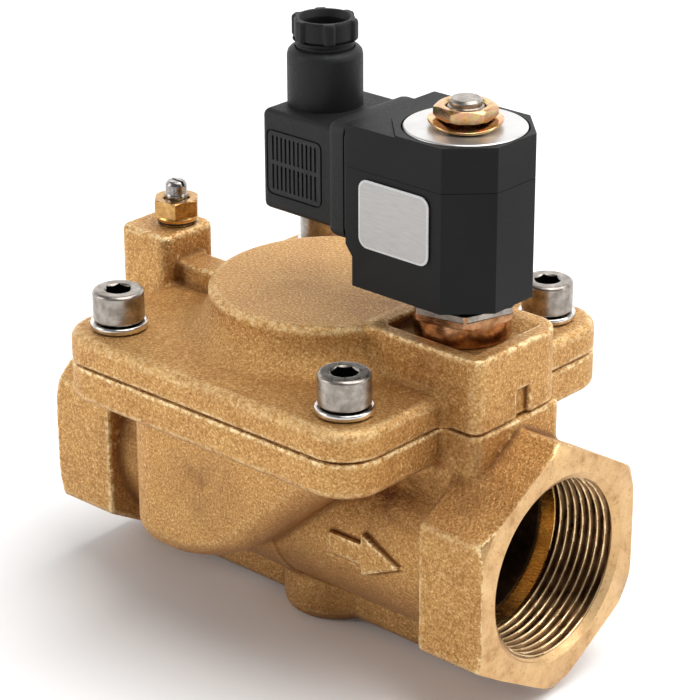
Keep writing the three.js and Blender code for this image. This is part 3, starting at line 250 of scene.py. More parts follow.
MIX_FACTOR, MIX_A, MIX_B, MIX_RESULT = 0, 6, 7, 2    # a mix node's sockets for colours


class Finish(Nodes):
    """A material that is built up from noise on the object's own coordinates."""

    def __init__(self, name, metallic=0.0):
        self.material = bpy.data.materials.new(name)
        self.material.use_nodes = True
        super().__init__(self.material.node_tree)
        self.shader = self.tree.nodes["Principled BSDF"]
        self.shader.inputs["Metallic"].default_value = metallic
        self.place = self.node("ShaderNodeTexCoord").outputs["Object"]

    def noise(self, size_mm, detail=3.0, rough=0.55, stretch=None):
        """Noise of a size; stretch multiplies each axis by its own scale."""
        place = self.place
        if stretch:
            place = self.node("ShaderNodeMapping", {"Scale": stretch, "Vector": place}).outputs["Vector"]
        inputs = {"Scale": 1.0 / (size_mm * MM), "Detail": detail, "Roughness": rough, "Vector": place}
        return self.node("ShaderNodeTexNoise", inputs).outputs["Fac"]

    def cells(self, size_mm):
        inputs = {"Scale": 1.0 / (size_mm * MM), "Vector": self.place}
        return self.node("ShaderNodeTexVoronoi", inputs).outputs["Distance"]

    def ramp(self, source, *stops):
        """Maps a value to colours: each stop is (position, colour)."""
        made = self.node("ShaderNodeValToRGB", {0: source})
        elements = made.color_ramp.elements
        while len(elements) < len(stops):
            elements.new(0.5)
        for element, (position, colour) in zip(elements, stops):
            element.position = position
            element.color = (*colour, 1.0)
        return made.outputs["Color"]

    def mix(self, factor, a, b, blend="MIX"):
        inputs = {MIX_FACTOR: factor, MIX_A: a, MIX_B: b}
        made = self.node("ShaderNodeMix", inputs, data_type="RGBA", blend_type=blend)
        return made.outputs[MIX_RESULT]

    def height(self, vector):
        return self.node("ShaderNodeSeparateXYZ", {0: vector}).outputs["Z"]

    def facing_down(self):
        """Rises from nothing on upright faces to over half on faces that look down."""
        normal = self.node("ShaderNodeNewGeometry").outputs["Normal"]
        return self.levels(self.height(normal), -0.75, -0.05, 0.6, 0.0)

    def low_down(self, full_mm, none_mm, amount):
        """Full below one height and nothing above another."""
        return self.levels(self.height(self.place), full_mm * MM, none_mm * MM, amount, 0.0)

    def spot(self, centre_mm, reach_mm, ragged):
        """One inside a ragged patch round a place on the object, falling to nothing at its rim."""
        inputs = {0: self.place, 1: tuple(c * MM for c in centre_mm)}
        away = self.node("ShaderNodeVectorMath", inputs, operation="DISTANCE").outputs["Value"]
        near = self.levels(away, 0.2 * reach_mm * MM, reach_mm * MM, 1.0, 0.0)
        torn = self.levels(self.noise(0.35 * reach_mm, 4.0, 0.65), 0.35, 0.65, 1.0 - 2 * ragged, 1.0)
        return self.times(near, torn)

    def pointiness(self):
        return self.node("ShaderNodeNewGeometry").outputs["Pointiness"]

    def colour(self, source):
        self.fill(self.shader.inputs["Base Color"], source)

    def roughness(self, source):
        self.fill(self.shader.inputs["Roughness"], source)

    def gloss(self, noise, rough_low, rough_high):
        """Roughness that runs from one value to another as the noise rises."""
        self.roughness(self.levels(noise, *NOISE_SPAN, rough_low, rough_high))

    def bump(self, height, depth_mm, strength):
        """Adds relief on top of the relief that is there already."""
        inputs = {"Strength": strength, "Distance": depth_mm * MM, "Height": height}
        previous = self.shader.inputs["Normal"].links
        if previous:
            inputs["Normal"] = previous[0].from_socket
        self.fill(self.shader.inputs["Normal"], self.node("ShaderNodeBump", inputs).outputs["Normal"])


def cast_brass():
    """Blasted sand-cast brass: speckled golden tan, bright on rubbed edges with a painted highlight there,
    painted shade in the corners, on faces that look down and low on the body, and dark spots that are partly
    stains and partly painted shade.
    """
    finish = Finish("cast_brass", metallic=1.0)
    grain = finish.noise(0.62, 4.0, 0.75)
    fine = finish.noise(0.38, 2.0, 0.6)
    patches = finish.noise(11.0, 3.0, 0.6)
    base = finish.ramp(patches, (0.3, (0.42, 0.19, 0.058)), (0.7, (0.62, 0.355, 0.125)))
    speckle = finish.ramp(
        grain,
        (0.34, (0.20, 0.088, 0.025)),
        (0.46, (0.49, 0.265, 0.085)),
        (0.57, (0.68, 0.415, 0.16)),
        (0.67, (1.0, 0.76, 0.42)),
    )
    mixed = finish.mix(0.68, base, speckle)
    # Pale colour on the convex edges: partly real rubbing, partly a painted highlight.
    edge = finish.levels(finish.pointiness(), 0.503, 0.532, 0.0, 1.0)
    rubbed = finish.times(edge, finish.levels(finish.noise(1.6, 4.0, 0.7), 0.42, 0.6, 0.0, 0.85))
    worn_edge_and_highlight = finish.mix(rubbed, mixed, (1.0, 0.80, 0.46))
    # Painted shade: darker brown in the creases and hollow corners.
    corner = finish.levels(finish.pointiness(), 0.47, 0.498, 0.9, 0.0)
    crease_shaded = finish.mix(corner, worn_edge_and_highlight, (0.17, 0.068, 0.022))
    # Painted shade on faces that look down.
    underside_shaded = finish.mix(finish.facing_down(), crease_shaded, (0.36, 0.16, 0.06))
    # Painted shade: darker towards the bottom of the body.
    stained_and_shaded = finish.mix(finish.low_down(5.0, 17.0, 0.2), underside_shaded, (0.20, 0.10, 0.045))
    # Dark spots: partly real stains, partly painted shade.
    for centre, reach, strength in STAINS_AND_SHADE:
        spot = finish.spot(centre, reach, 0.45)
        stained_and_shaded = finish.mix(finish.times(spot, strength), stained_and_shaded, STAIN_AND_SHADE_DARK)
    finish.colour(stained_and_shaded)
    finish.roughness(finish.mix(rubbed, finish.levels(fine, 0.35, 0.65, 0.64, 0.38), (0.24, 0.24, 0.24)))
    finish.bump(finish.noise(2.6, 2.0), 0.35, 0.5)
    finish.bump(finish.cells(1.1), 0.2, 0.6)
    finish.bump(grain, 0.28, 1.0)
    finish.bump(fine, 0.13, 1.0)
    return finish.material


def machined_brass():
    """Face-turned brass: smooth peach-tan with faint scratches and darker stains."""
    finish = Finish("machined_brass", metallic=1.0)
    stains = finish.noise(7.0, 5.0, 0.68)
    specks = finish.noise(0.9, 3.0, 0.7)
    scratches = finish.noise(0.35, 2.0, 0.5, stretch=(1.0, 0.12, 1.0))
    tans = (0.3, (0.44, 0.25, 0.10)), (0.42, (0.60, 0.375, 0.175)), (0.62, (0.72, 0.48, 0.24))
    base = finish.ramp(stains, *tans)
    dotted = finish.ramp(specks, (0.3, (0.62, 0.5, 0.4)), (0.42, (1.0, 1.0, 1.0)))
    finish.colour(finish.mix(0.8, base, dotted, "MULTIPLY"))
    finish.gloss(scratches, 0.3, 0.5)
    finish.bump(stains, 0.12, 0.5)
    finish.bump(scratches, 0.04, 0.5)
    finish.bump(specks, 0.06, 0.5)
    return finish.material


def surface(name, metallic, clouds, stops, rough, gloss=None, relief=None):
    """A finish from noises: clouds of colour, patches of gloss and a fine relief (noise, depth, strength)."""
    finish = Finish(name, metallic)
    finish.colour(finish.ramp(finish.noise(*clouds), *stops))
    finish.gloss(finish.noise(*(gloss or clouds)), *rough)
    if relief:
        noise, depth_mm, strength = relief
        finish.bump(finish.noise(*noise), depth_mm, strength)
    return finish.material


def passage_shade_brass():
    """Walls of the flow passages: near-black brown, painted shade deep in the passages, with paler spots."""
    stops = (0.36, (0.03, 0.017, 0.009)), (0.6, (0.10, 0.055, 0.025)), (0.72, (0.22, 0.13, 0.06))
    crust = (0.8, 4.0, 0.7), 0.15, 0.8
    return surface("passage_shade_brass", 0.8, (5.0, 4.0, 0.7), stops, (0.6, 0.4), relief=crust)


def thread_flanks():
    """Flanks and roots of the cut thread: dark oxidised brown."""
    stops = (0.35, (0.20, 0.11, 0.05)), (0.65, (0.36, 0.21, 0.10))
    return surface("thread_flanks", 1.0, (5.0, 3.0), stops, (0.25, 0.42), relief=((0.8, 3.0), 0.05, 0.5))


def thread_crests():
    """Crests of the cut thread and the smooth band behind it: bright pale brass."""
    stops = (0.34, (0.62, 0.42, 0.20)), (0.6, (0.90, 0.68, 0.40))
    scored = (0.4, 2.0, 0.5, (1.0, 0.2, 0.2))
    return surface("thread_crests", 1.0, (3.0, 4.0, 0.6), stops, (0.36, 0.2), relief=(scored, 0.03, 0.5))


def turned_metal(name, dark, light, rough=(0.18, 0.32), size_mm=4.0):
    """Metal with fine turning marks and faint cloudy stains."""
    marks = (0.3, 2.0, 0.5, (0.15, 0.15, 1.0))
    stops = (0.32, dark), (0.66, light)
    return surface(name, 1.0, (size_mm, 4.0, 0.6), stops, rough, marks, (marks, 0.02, 0.4))


def yellow_zinc():
    """Yellow passivated zinc: golden with faint pink and green tints."""
    stops = (
        (0.3, (0.34, 0.17, 0.07)),
        (0.42, (0.62, 0.38, 0.13)),
        (0.52, (0.60, 0.31, 0.20)),
        (0.62, (0.56, 0.46, 0.18)),
        (0.75, (0.74, 0.50, 0.24)),
    )
    return surface("yellow_zinc", 1.0, (3.2, 3.0, 0.6), stops, (0.14, 0.28), gloss=(0.5,))


def black_plastic(name, level, specular, rough, grain_mm, depth_mm):
    """Moulded black plastic with a fine texture, rubbed paler along its edges."""
    finish = Finish(name)
    finish.shader.inputs["Specular IOR Level"].default_value = specular
    grain = finish.noise(grain_mm, 3.0, 0.6)
    dark = (level * 0.86, level * 0.87, level * 0.9)
    light = (level * 1.12, level * 1.12, level * 1.12)
    rubbed = (level * 3.4, level * 3.6, level * 3.8)
    base = finish.ramp(finish.noise(12.0, 3.0), (0.3, dark), (0.7, light))
    finish.colour(finish.mix(finish.levels(finish.pointiness(), 0.51, 0.6, 0.0, 0.5), base, rubbed))
    finish.gloss(grain, *rough)
    finish.bump(grain, depth_mm, 0.6)
    return finish.material


def rubber_black():
    stops = (0.3, (0.010, 0.010, 0.010)), (0.7, (0.022, 0.022, 0.022))
    return surface("rubber", 0.0, (0.7, 3.0), stops, (0.5, 0.75), relief=((0.7, 3.0), 0.03, 0.5))


def satin_plate():
    """Bright plated disc with a faint polish."""
    stops = (0.35, (0.60, 0.59, 0.575)), (0.65, (0.69, 0.68, 0.67))
    fine = (0.25, 2.0)
    return surface("silver_plate", 1.0, (8.0, 3.0), stops, (0.3, 0.42), fine, (fine, 0.008, 0.4))


def label_foil():
    """Brushed foil in the middle of the label."""
    stops = (0.3, (0.39, 0.38, 0.37)), (0.7, (0.47, 0.46, 0.45))
    return surface("label", 0.35, (0.4, 2.0, 0.5, (0.1, 1.0, 1.0)), stops, (0.35, 0.5))


def label_edge():
    """Pale print round the label."""
    stops = (0.3, (0.55, 0.55, 0.54)), (0.7, (0.64, 0.64, 0.63))
    return surface("label_rim", 0.0, (0.8, 2.0), stops, (0.35, 0.47))


def copper_wire():
    """Enamelled wire, with one ridge for each turn of the winding."""
    stops = (0.35, (0.42, 0.15, 0.07)), (0.65, (0.76, 0.36, 0.2))
    turns = (0.5, 1.0, 0.5, (0.05, 0.05, 1.0))
    return surface("copper", 1.0, turns, stops, (0.25, 0.4), relief=(turns, 0.1, 0.6))


BRASS = cast_brass()
FACED = machined_brass()
INSIDE = passage_shade_brass()
FLANKS = thread_flanks()
CRESTS = thread_crests()
BRIGHT_BRASS = turned_metal("turned_brass", (0.58, 0.32, 0.10), (0.84, 0.54, 0.20))
BRONZE = turned_metal("bronze", (0.34, 0.17, 0.055), (0.60, 0.36, 0.13), (0.2, 0.36), 2.0)
STAINLESS = turned_metal("stainless", (0.20, 0.175, 0.15), (0.40, 0.36, 0.32), (0.24, 0.4), 2.6)
POLISHED = turned_metal("polished_steel", (0.52, 0.50, 0.48), (0.72, 0.70, 0.68), (0.08, 0.18))
# Copper-brown for the lower part of the armature tube: a painted reflection of the brass round it.
TUBE_REFLECTION_BROWN = turned_metal("tube_painted_reflection", (0.20, 0.085, 0.035), (0.50, 0.27, 0.14), (0.16, 0.3), 2.4)
# Near-black for the inside of the hex sockets: painted shade.
SOCKET_SHADE_BLACK = turned_metal("socket_painted_shade", (0.012, 0.011, 0.01), (0.03, 0.028, 0.026), (0.35, 0.5))
STEM_STEEL = turned_metal("stem_steel", (0.20, 0.185, 0.175), (0.42, 0.40, 0.385), (0.16, 0.3), 1.6)
PLAIN_STEEL = turned_metal("magnetic_steel", (0.36, 0.36, 0.36), (0.52, 0.52, 0.52), (0.3, 0.45))
SPRING_STEEL = turned_metal("spring_steel", (0.42, 0.42, 0.42), (0.6, 0.6, 0.6), (0.2, 0.3))
ZINC = yellow_zinc()
COIL_BLACK = black_plastic("coil_plastic", 0.0055, 0.15, (0.42, 0.56), 0.35, 0.02)
PLUG_BLACK = black_plastic("plug_plastic", 0.0095, 0.24, (0.46, 0.66), 0.5, 0.07)
RUBBER = rubber_black()
PLATE = satin_plate()
LABEL = label_foil()
LABEL_RIM = label_edge()
COPPER = copper_wire()


# -------------------- mesh helpers
CAST_FACES = 30000            # the castings have more faces than this, every other piece has fewer
SHARP_DEG = 32.0
MERGE_M = 1e-7                # points nearer than this are one point


def even_shading(piece):
    """Keeps large faces flat in their shading, so that only the narrow edges between them are blended."""
    modifier = piece.modifiers.new("even_shading", "WEIGHTED_NORMAL")
    modifier.keep_sharp = True
    modifier.weight = 100
    bpy.context.view_layer.update()
    apply_modifiers(piece)


def finish_piece(piece, body, replaces=(), materials=()):
    """Gives a new piece its materials and the body that it rides on, and hides the CAD nodes that it stands
    for.
    """
    if len(piece.data.polygons) < CAST_FACES:
        even_shading(piece)
    for material in materials:
        piece.data.materials.append(material)
    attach(piece, body)
    if replaces:
        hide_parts(*replaces)
    return piece


def object_from(name, verts_mm, faces, sharp_deg=SHARP_DEG):
    """A mesh object from points in millimetres, smooth shaded except at its sharp edges."""
    mesh = bpy.data.meshes.new(name)
    verts = (np.asarray(verts_mm, float) * MM).tolist()
    mesh.from_pydata(verts, [], [tuple(int(i) for i in f) for f in faces])
    made = bpy.data.objects.new(name, mesh)
    bpy.context.scene.collection.objects.link(made)
    tidy_normals(made, sharp_deg)
    return made


def tidy_normals(obj, sharp_deg=SHARP_DEG):
    """Merges double points, turns all faces outwards and shades them smooth but for sharp edges."""
    work = bmesh.new()
    work.from_mesh(obj.data)
    bmesh.ops.remove_doubles(work, verts=work.verts, dist=MERGE_M)
    bmesh.ops.recalc_face_normals(work, faces=work.faces)
    if work.calc_volume(signed=True) < 0:
        bmesh.ops.reverse_faces(work, faces=work.faces)
    work.to_mesh(obj.data)
    work.free()
    shade(obj, sharp_deg)


def shade(obj, sharp_deg):
    obj.data.polygons.foreach_set("use_smooth", [True] * len(obj.data.polygons))
    obj.data.set_sharp_from_angle(angle=math.radians(sharp_deg))


def apply_modifiers(obj):
    graph = bpy.context.evaluated_depsgraph_get()
    made = bpy.data.meshes.new_from_object(obj.evaluated_get(graph))
    obj.modifiers.clear()
    obj.data = made


def combine(target, tool, operation):
    """Boolean of two closed solids; the tool is used up."""
    modifier = target.modifiers.new("boolean", "BOOLEAN")
    modifier.operation = operation
    modifier.solver = "EXACT"
    modifier.object = tool
    bpy.context.view_layer.update()
    apply_modifiers(target)
    bpy.data.objects.remove(tool)
    return target


def cut(target, *tools):
    for tool in tools:
        combine(target, tool, "DIFFERENCE")
    return target


def bevel(obj, width_mm, segments=3, angle_deg=28.0):
    modifier = obj.modifiers.new("bevel", "BEVEL")
    modifier.width = width_mm * MM
    modifier.segments = segments
    modifier.limit_method = "ANGLE"
    modifier.angle_limit = math.radians(angle_deg)
    modifier.use_clamp_overlap = True
    bpy.context.view_layer.update()
    apply_modifiers(obj)
    tidy_normals(obj, 40.0)
    return obj


def ring_grid(rows, closed_rows):
    """Quads between rows of points that each go once round; rows may close on themselves."""
    count, around = len(rows), len(rows[0])
    verts = [point for row in rows for point in row]
    faces = []
    for i in range(count if closed_rows else count - 1):
        for j in range(around):
            k = (j + 1) % around
            n = (i + 1) % count
            faces.append((i * around + j, i * around + k, n * around + k, n * around + j))
    return verts, faces


def lathe(name, profile, centre=(0, 0), sides=96, shape=None, sharp_deg=SHARP_DEG):
    """Turns a closed [radius, z] profile about Z; shape(angle, r, z) may bend each point's radius."""
    angles = np.linspace(0, 2 * math.pi, sides, endpoint=False)
    rows = []
    for r, z in profile:
        radii = [shape(a, r, z) if shape else r for a in angles]
        rows.append([on_circle(centre, q, a, z) for a, q in zip(angles, radii)])
    verts, faces = ring_grid(rows, profile[0][0] > 0)
    return object_from(name, verts, faces, sharp_deg)


def on_circle(centre, radius, angle, z):
    return centre[0] + radius * math.cos(angle), centre[1] + radius * math.sin(angle), z


def capped(profile):
    """A profile for a solid without a bore: both ends of the line are led to the axis."""
    return [(0, profile[0][1]), *profile, (0, profile[-1][1])]


def round_bar(name, radius, z0, z1, centre, sides):
    return lathe(name, capped([(radius, z0), (radius, z1)]), centre, sides)


def rounded(profile, radius, steps=4):
    """Rounds the corners of a [radius, z] profile; corners on the axis stay as they are."""
    points = [np.array(p, float) for p in profile]
    out = []
    for i, p in enumerate(points):
        before, after = points[i - 1], points[(i + 1) % len(points)]
        if p[0] <= 0:
            out.append(tuple(p))
            continue
        u, v = before - p, after - p
        lu, lv = np.linalg.norm(u), np.linalg.norm(v)
        reach = min(radius, 0.45 * lu, 0.45 * lv)
        a, b = p + u / lu * reach, p + v / lv * reach
        for t in np.linspace(0, 1, steps + 1):
            out.append(tuple((1 - t) ** 2 * a + 2 * t * (1 - t) * p + t * t * b))
    return out


def prism(name, outline, z0, z1):
    """A straight bar with the given outline, from z0 to z1."""
    count = len(outline)
    verts = [(x, y, z0) for x, y in outline] + [(x, y, z1) for x, y in outline]
    faces = [tuple(range(count))[::-1], tuple(range(count, 2 * count))]
    faces += [(i, (i + 1) % count, count + (i + 1) % count, count + i) for i in range(count)]
    return object_from(name, verts, faces)


def block(name, low, high):
    (x0, y0, z0), (x1, y1, z1) = low, high
    return prism(name, [(x0, y0), (x1, y0), (x1, y1), (x0, y1)], z0, z1)


def hexagon(across_flats, centre, turn):
    reach = across_flats / 2 / math.cos(math.pi / 6)
    corners = [turn + i * math.pi / 3 for i in range(6)]
    return [(centre[0] + reach * math.cos(a), centre[1] + reach * math.sin(a)) for a in corners]


def round_rect(x0, x1, y0, y1, r, steps=6):
    points = []
    left, right, low, high = x0 + r, x1 - r, y0 + r, y1 - r
    for cx, cy, start in ((right, low, -90), (right, high, 0), (left, high, 90), (left, low, 180)):
        for t in np.linspace(0, 90, steps + 1):
            a = math.radians(start + t)
            points.append((cx + r * math.cos(a), cy + r * math.sin(a)))
    return points


ALONG_X = Matrix(((0, 0, 1), (0, 1, 0), (-1, 0, 0))).to_4x4()
TOWARDS_LABEL = Matrix(((1, 0, 0), (0, 0, -1), (0, 1, 0))).to_4x4()


def lay_along(turn, obj):
    """Turns a piece made about Z so that its z runs along +X, or along -Y to the side of the label."""
    obj.data.transform(turn)
    return obj


# -------------------- distance fields for the castings
STEP = 0.5  # spacing of the grid
FLANGE_CORNER_R = 11.3
TUBE_R = 25.0
NECK_R = 25.5
KEEL_HALF = 8.2
KEEL_Z = 2.5
BOSS_R = 13.2
BOWL_X, BOWL_Y = 40.0, 39.0   # half sizes
BOWL_FLOOR_Z = 20.0
SLOPE_RISE, SLOPE_RUN = 39.0, 44.0
SLOPE_X, SLOPE_Z = -6.0, 21.0      # a place that the bowl's slanted underside passes through
COLUMN_LOW_Z = 36.0
HEX_CONE_R = 31.6             # the turned cone at the ends of the hexagons, at the face
HEX_CONE_LEAN = 1.8
ARROW_Z = 34.9
ARROW_FACE_Y = 26.3
ARROW_TAIL_X = 21.5
ARROW_TAIL_HALF = 2.9
ARROW_HEAD_X = 32.3
ARROW_HEAD_HALF = 5.8
ARROW_TIP_X = 44.6
ROOM_R = 34.5                 # the chamber round the seat, in the body and in the cover
ROOM_FLOOR_Z = 25.0
RECESS_R, RECESS_DEPTH = 38.8, 2.3
CHANNEL_WALL_R = 24.6
CHANNEL_WALL_X = -22.0
INLET_END_X = -27.6
OUTLET_START_X = -18.0
SEAT_OUTER_R = 21.0
SEAT_BORE_R = 17.0
SEAT_Z = 61.0
SOCKET_R = 24.0
MOUTH_R = 24.75
SOCKET_DEPTH = 22.0
SCREW_HOLE_R = 4.2
SCREW_HOLE_Z = 64.4
POCKET_X = (28.8, 56.2)
POCKET_Y = (-12.6, 13.4)
POCKET_Z = 89.0
NOTCH_Y = (-1.4, 3.2)
NOTCH_TOP_Z = 79.0
RIB_Y = (-7.6, 1.6)
RIB_Z = (74.0, 85.5)
RIB_END_X = -24.0
TOWER_BORE_R = 9.3
TOWER_BORE_Z = 80.0
BLEED_BORE_R = 4.7
BLEED_BORE_Z = 82.0
ROOM_TOP_Z = 86.0
ROOM_TAPER_Z = 76.0


class Space:
    """A regular grid of points in millimetres on which distance fields are worked out."""

    def __init__(self, low, high, step):
        self.low, self.step = np.array(low, float), step
        axes = [np.arange(a, b + step, step, dtype=np.float32) for a, b in zip(low, high)]
        self.x, self.y, self.z = np.meshgrid(*axes, indexing="ij", sparse=True)
        self.shape = tuple(len(a) for a in axes)

    def mesh(self, name, field):
        grid = openvdb.FloatGrid(5.0)
        grid.copyFromArray(np.array(np.broadcast_to(field, self.shape), dtype=np.float32))
        points, quads = grid.convertToQuads(isovalue=0.0)
        return object_from(name, points * self.step + self.low, quads, 60.0)


def rect2(u, v, u0, u1, v0, v1, r):
    """Signed distance to a rounded rectangle."""
    qu = np.abs(u - (u0 + u1) / 2) - (u1 - u0) / 2 + r
    qv = np.abs(v - (v0 + v1) / 2) - (v1 - v0) / 2 + r
    return np.hypot(np.maximum(qu, 0), np.maximum(qv, 0)) + np.minimum(np.maximum(qu, qv), 0) - r


def slab(w, w0, w1):
    return np.abs(w - (w0 + w1) / 2) - (w1 - w0) / 2


def meet(a, b, r=0.0):
    """Where both solids are, with the edge between them rounded to radius r."""
    if not r:
        return np.maximum(a, b)
    return np.minimum(-r, np.maximum(a, b)) + np.hypot(np.maximum(r + a, 0), np.maximum(r + b, 0))


def weld(a, b, r=0.0):
    """Both solids together, with a fillet of radius r in the corner between them."""
    if not r:
        return np.minimum(a, b)
    return np.maximum(r, np.minimum(a, b)) - np.hypot(np.maximum(r - a, 0), np.maximum(r - b, 0))


def without(a, b, r=0.0):
    return meet(a, -b, r)


def hex_field(space, r_edge):
    """The hexagon of a port, one corner up, as a distance in the Y-Z plane."""
    u, w = space.y, space.z - FLOW_Z
    turns = (0, math.pi / 3, 2 * math.pi / 3)
    sides = [np.abs(u * math.cos(a) + w * math.sin(a)) - HEX_AF / 2 for a in turns]
    field = sides[0]
    for side in sides[1:]:
        field = meet(field, side, r_edge)
    return field


def screw_holes(space):
    """The holes for the four cover screws, right through."""
    return np.hypot(np.abs(space.x) - SCREW_HALF, np.abs(space.y) - SCREW_HALF) - SCREW_HOLE_R


def body_field(space):
    slope = SLOPE_RISE * (space.x - SLOPE_X) - SLOPE_RUN * (space.z - SLOPE_Z)
    slope = slope / math.hypot(SLOPE_RISE, SLOPE_RUN)
    return without(body_outside(space, slope), body_inside(space, slope), 0.35)


def body_outside(space, slope):
    x, y, z = space.x, space.y, space.z
    flow = np.hypot(y, z - FLOW_Z)
    plan = rect2(x, y, -HALF, HALF, -HALF, HALF, FLANGE_CORNER_R)
    flange = meet(meet(plan, z - SEAM_Z, 0.3), FLANGE_BOTTOM_Z - z, 1.8)

    under = meet(BOWL_FLOOR_Z - z, slope, 12.0)
    bowl = meet(rect2(x, y, -BOWL_X, BOWL_X, -BOWL_Y, BOWL_Y, 12.6), under, 7.0)
    bowl = meet(bowl, z - SEAM_Z + 1.0)

    tube = meet(flow - TUBE_R, slab(x, -20.0, HEX_X + 3))
    neck = meet(flow - NECK_R, slab(x, -HEX_X - 3, 0))
    keel = meet(rect2(y, z, -KEEL_HALF, KEEL_HALF, KEEL_Z, FLOW_Z, 2.0), slab(x, -HEX_X - 2, HEX_X + 2))
    boss = meet(np.hypot(x, y) - BOSS_R, slab(z, 0.0, FLOW_Z), 3.2)
    column = meet(rect2(x, y, *BLOCK, 3.4), slab(z, COLUMN_LOW_Z, SEAM_Z), 0.6)

    hexagons = meet(hex_field(space, 0.8), slab(np.abs(x), HEX_X, FACE_X + 4.0), 0.9)
    cone = flow + HEX_CONE_LEAN * (np.abs(x) - FACE_X) - HEX_CONE_R
    hexagons = meet(hexagons, cone / math.hypot(1.0, HEX_CONE_LEAN), 0.25)

    outside = weld(tube, neck, 1.0)
    foot = np.where(x > 0, weld(keel, boss, 3.0), weld(keel, boss, 0.6))
    for part, fillet in ((foot, 0.8), (bowl, 1.6), (column, 2.5), (hexagons, 1.2), (flange, 2.2)):
        outside = weld(outside, part, fillet)
    return weld(outside, arrow_field(space, flow), 0.35)


def body_inside(space, slope):
    """The passages: in through the left port, up round the seat, down its bore and out on the right."""
    x, y, z = space.x, space.y, space.z
    flow, around = np.hypot(y, z - FLOW_Z), np.hypot(x, y)
    seat_wall = around - SEAT_OUTER_R
    channel_wall = meet(flow - CHANNEL_WALL_R, CHANNEL_WALL_X - x, 2.0)
    wall = weld(channel_wall, meet(seat_wall, slab(z, FLOW_Z, SEAT_Z), 1.0), 3.0)
    chamber = meet(around - ROOM_R, slab(z, ROOM_FLOOR_Z, SEAM_Z + 3), 4.0)
    chamber = meet(chamber, slope + 5.0, 4.0)
    chamber = without(chamber, wall, 1.5)
    top_room = meet(around - ROOM_R, slab(z, SEAT_Z - 4.5, SEAM_Z + 3), 1.0)
    top_room = without(top_room, meet(seat_wall, z - SEAT_Z), 0.5)

    recess = meet(around - RECESS_R, slab(z, SEAM_Z - RECESS_DEPTH, SEAM_Z + 3))
    inlet = meet(flow - CHANNEL_R, slab(x, -FACE_X - 5, INLET_END_X))
    outlet = meet(flow - CHANNEL_R, slab(x, OUTLET_START_X, FACE_X + 5), 12.0)
    seat_bore = meet(around - SEAT_BORE_R, slab(z, FLOW_Z, SEAT_Z + 3))
    socket = meet(flow - SOCKET_R, slab(np.abs(x), FACE_X - SOCKET_DEPTH - 0.8, FACE_X + 6))
    mouth = meet(flow - MOUTH_R, slab(np.abs(x), FACE_X - 2, FACE_X + 6))
    holes = meet(screw_holes(space), slab(z, SCREW_HOLE_Z, SEAM_Z + 3))

    inside = weld(chamber, top_room, 1.0)
    inside = weld(weld(inside, recess), inlet, 1.0)
    inside = weld(weld(inside, seat_bore), outlet, 1.5)
    for room in (socket, mouth, holes):
        inside = weld(inside, room)
    return inside


def arrow_field(space, flow):
    """The raised flow arrow on the side of the tube: a flat pad that points to the outlet."""
    x, z = space.x, space.z
    low, high = ARROW_Z - ARROW_TAIL_HALF, ARROW_Z + ARROW_TAIL_HALF
    tail = rect2(x, z, ARROW_TAIL_X, ARROW_HEAD_X + 2, low, high, 0.4)
    run = ARROW_TIP_X - ARROW_HEAD_X
    slant = ARROW_HEAD_HALF * (x - ARROW_HEAD_X) + run * (np.abs(z - ARROW_Z) - ARROW_HEAD_HALF)
    head = meet(slant / math.hypot(ARROW_HEAD_HALF, run), ARROW_HEAD_X - x, 0.4)
    face = -space.y - ARROW_FACE_Y
    pad = meet(meet(weld(tail, head, 0.4), face, 0.4), TUBE_R - 2.0 - flow)
    return meet(pad, space.y + ARROW_FACE_Y / 2)


def cover_field(space):
    x, y, z = space.x, space.y, space.z
    plate = meet(rect2(x, y, -HALF, HALF, -HALF, HALF, FLANGE_CORNER_R), COVER_Z - z, 0.3)
    plate = meet(plate, z - COVER_TOP_Z, 2.4)
    dome = meet(np.hypot(x, y) - DOME_R, slab(z, COVER_Z, DOME_Z), 2.0)
    pilot = meet(block_plan(space), COVER_Z - z, 0.3)
    pilot = meet(pilot, z - BLOCK_TOP_Z, 0.8)
    bx, by = BLEED
    bleed = rect2(x, y, *BLEED_BLOCK, 3.2)
    bleed = meet(meet(bleed, COVER_Z - z, 0.8), z - BLEED_TOP_Z, 1.5)
    rib = meet(rect2(y, z, *RIB_Y, *RIB_Z, 0.7), slab(x, bx, RIB_END_X))
    outside = weld(plate, dome, 8.5)
    for part, fillet in ((rib, 1.3), (pilot, 2.2), (bleed, 1.6)):
        outside = weld(outside, part, fillet)

    floor = meet(slab(x, *POCKET_X), slab(y, *POCKET_Y), 0.8)
    climb = (POCKET_Z - z) + np.maximum(y - 8.0, 0) * 0.45
    pocket = meet(floor, climb, 0.6)
    notch = meet(meet(slab(y, *NOTCH_Y), slab(z, SEAM_Z - 3, NOTCH_TOP_Z), 0.5), BLOCK[1] - 1.3 - x)
    bores = meet(np.hypot(x - TOWER_X, y) - TOWER_BORE_R, slab(z, TOWER_BORE_Z, POCKET_Z + 4))
    bleed_hole = meet(np.hypot(x - bx, y - by) - BLEED_BORE_R, slab(z, BLEED_BORE_Z, BLEED_TOP_Z + 3))
    inner = np.hypot(x, y)
    taper = (inner - ROOM_R + np.maximum(z - ROOM_TAPER_Z, 0)) / math.sqrt(2)
    chamber = meet(meet(np.maximum(taper, inner - ROOM_R), z - ROOM_TOP_Z, 3.0), COVER_Z - 3 - z)
    cuts = pocket
    for room in (notch, bores, bleed_hole, chamber, screw_holes(space)):
        cuts = weld(cuts, room)
    return without(outside, cuts, 0.35)


def block_plan(space):
    """The pilot block's outline: a tight corner near the label side, a broad one far from it."""
    x, y = space.x, space.y
    tight = rect2(x, y, *BLOCK, 3.2)
    broad = rect2(x, y, *BLOCK, 7.0)
    return np.where(y > 0, broad, tight)


def cast_body():
    space = Space((-FACE_X - 2.5, -HALF - 1.5, -1.5), (FACE_X + 2.5, HALF + 1.5, SEAM_Z + 1.5), STEP)
    piece = space.mesh("body_casting", body_field(space))
    face_off(piece)
    return finish_piece(piece, "valve", ["valve_body"])


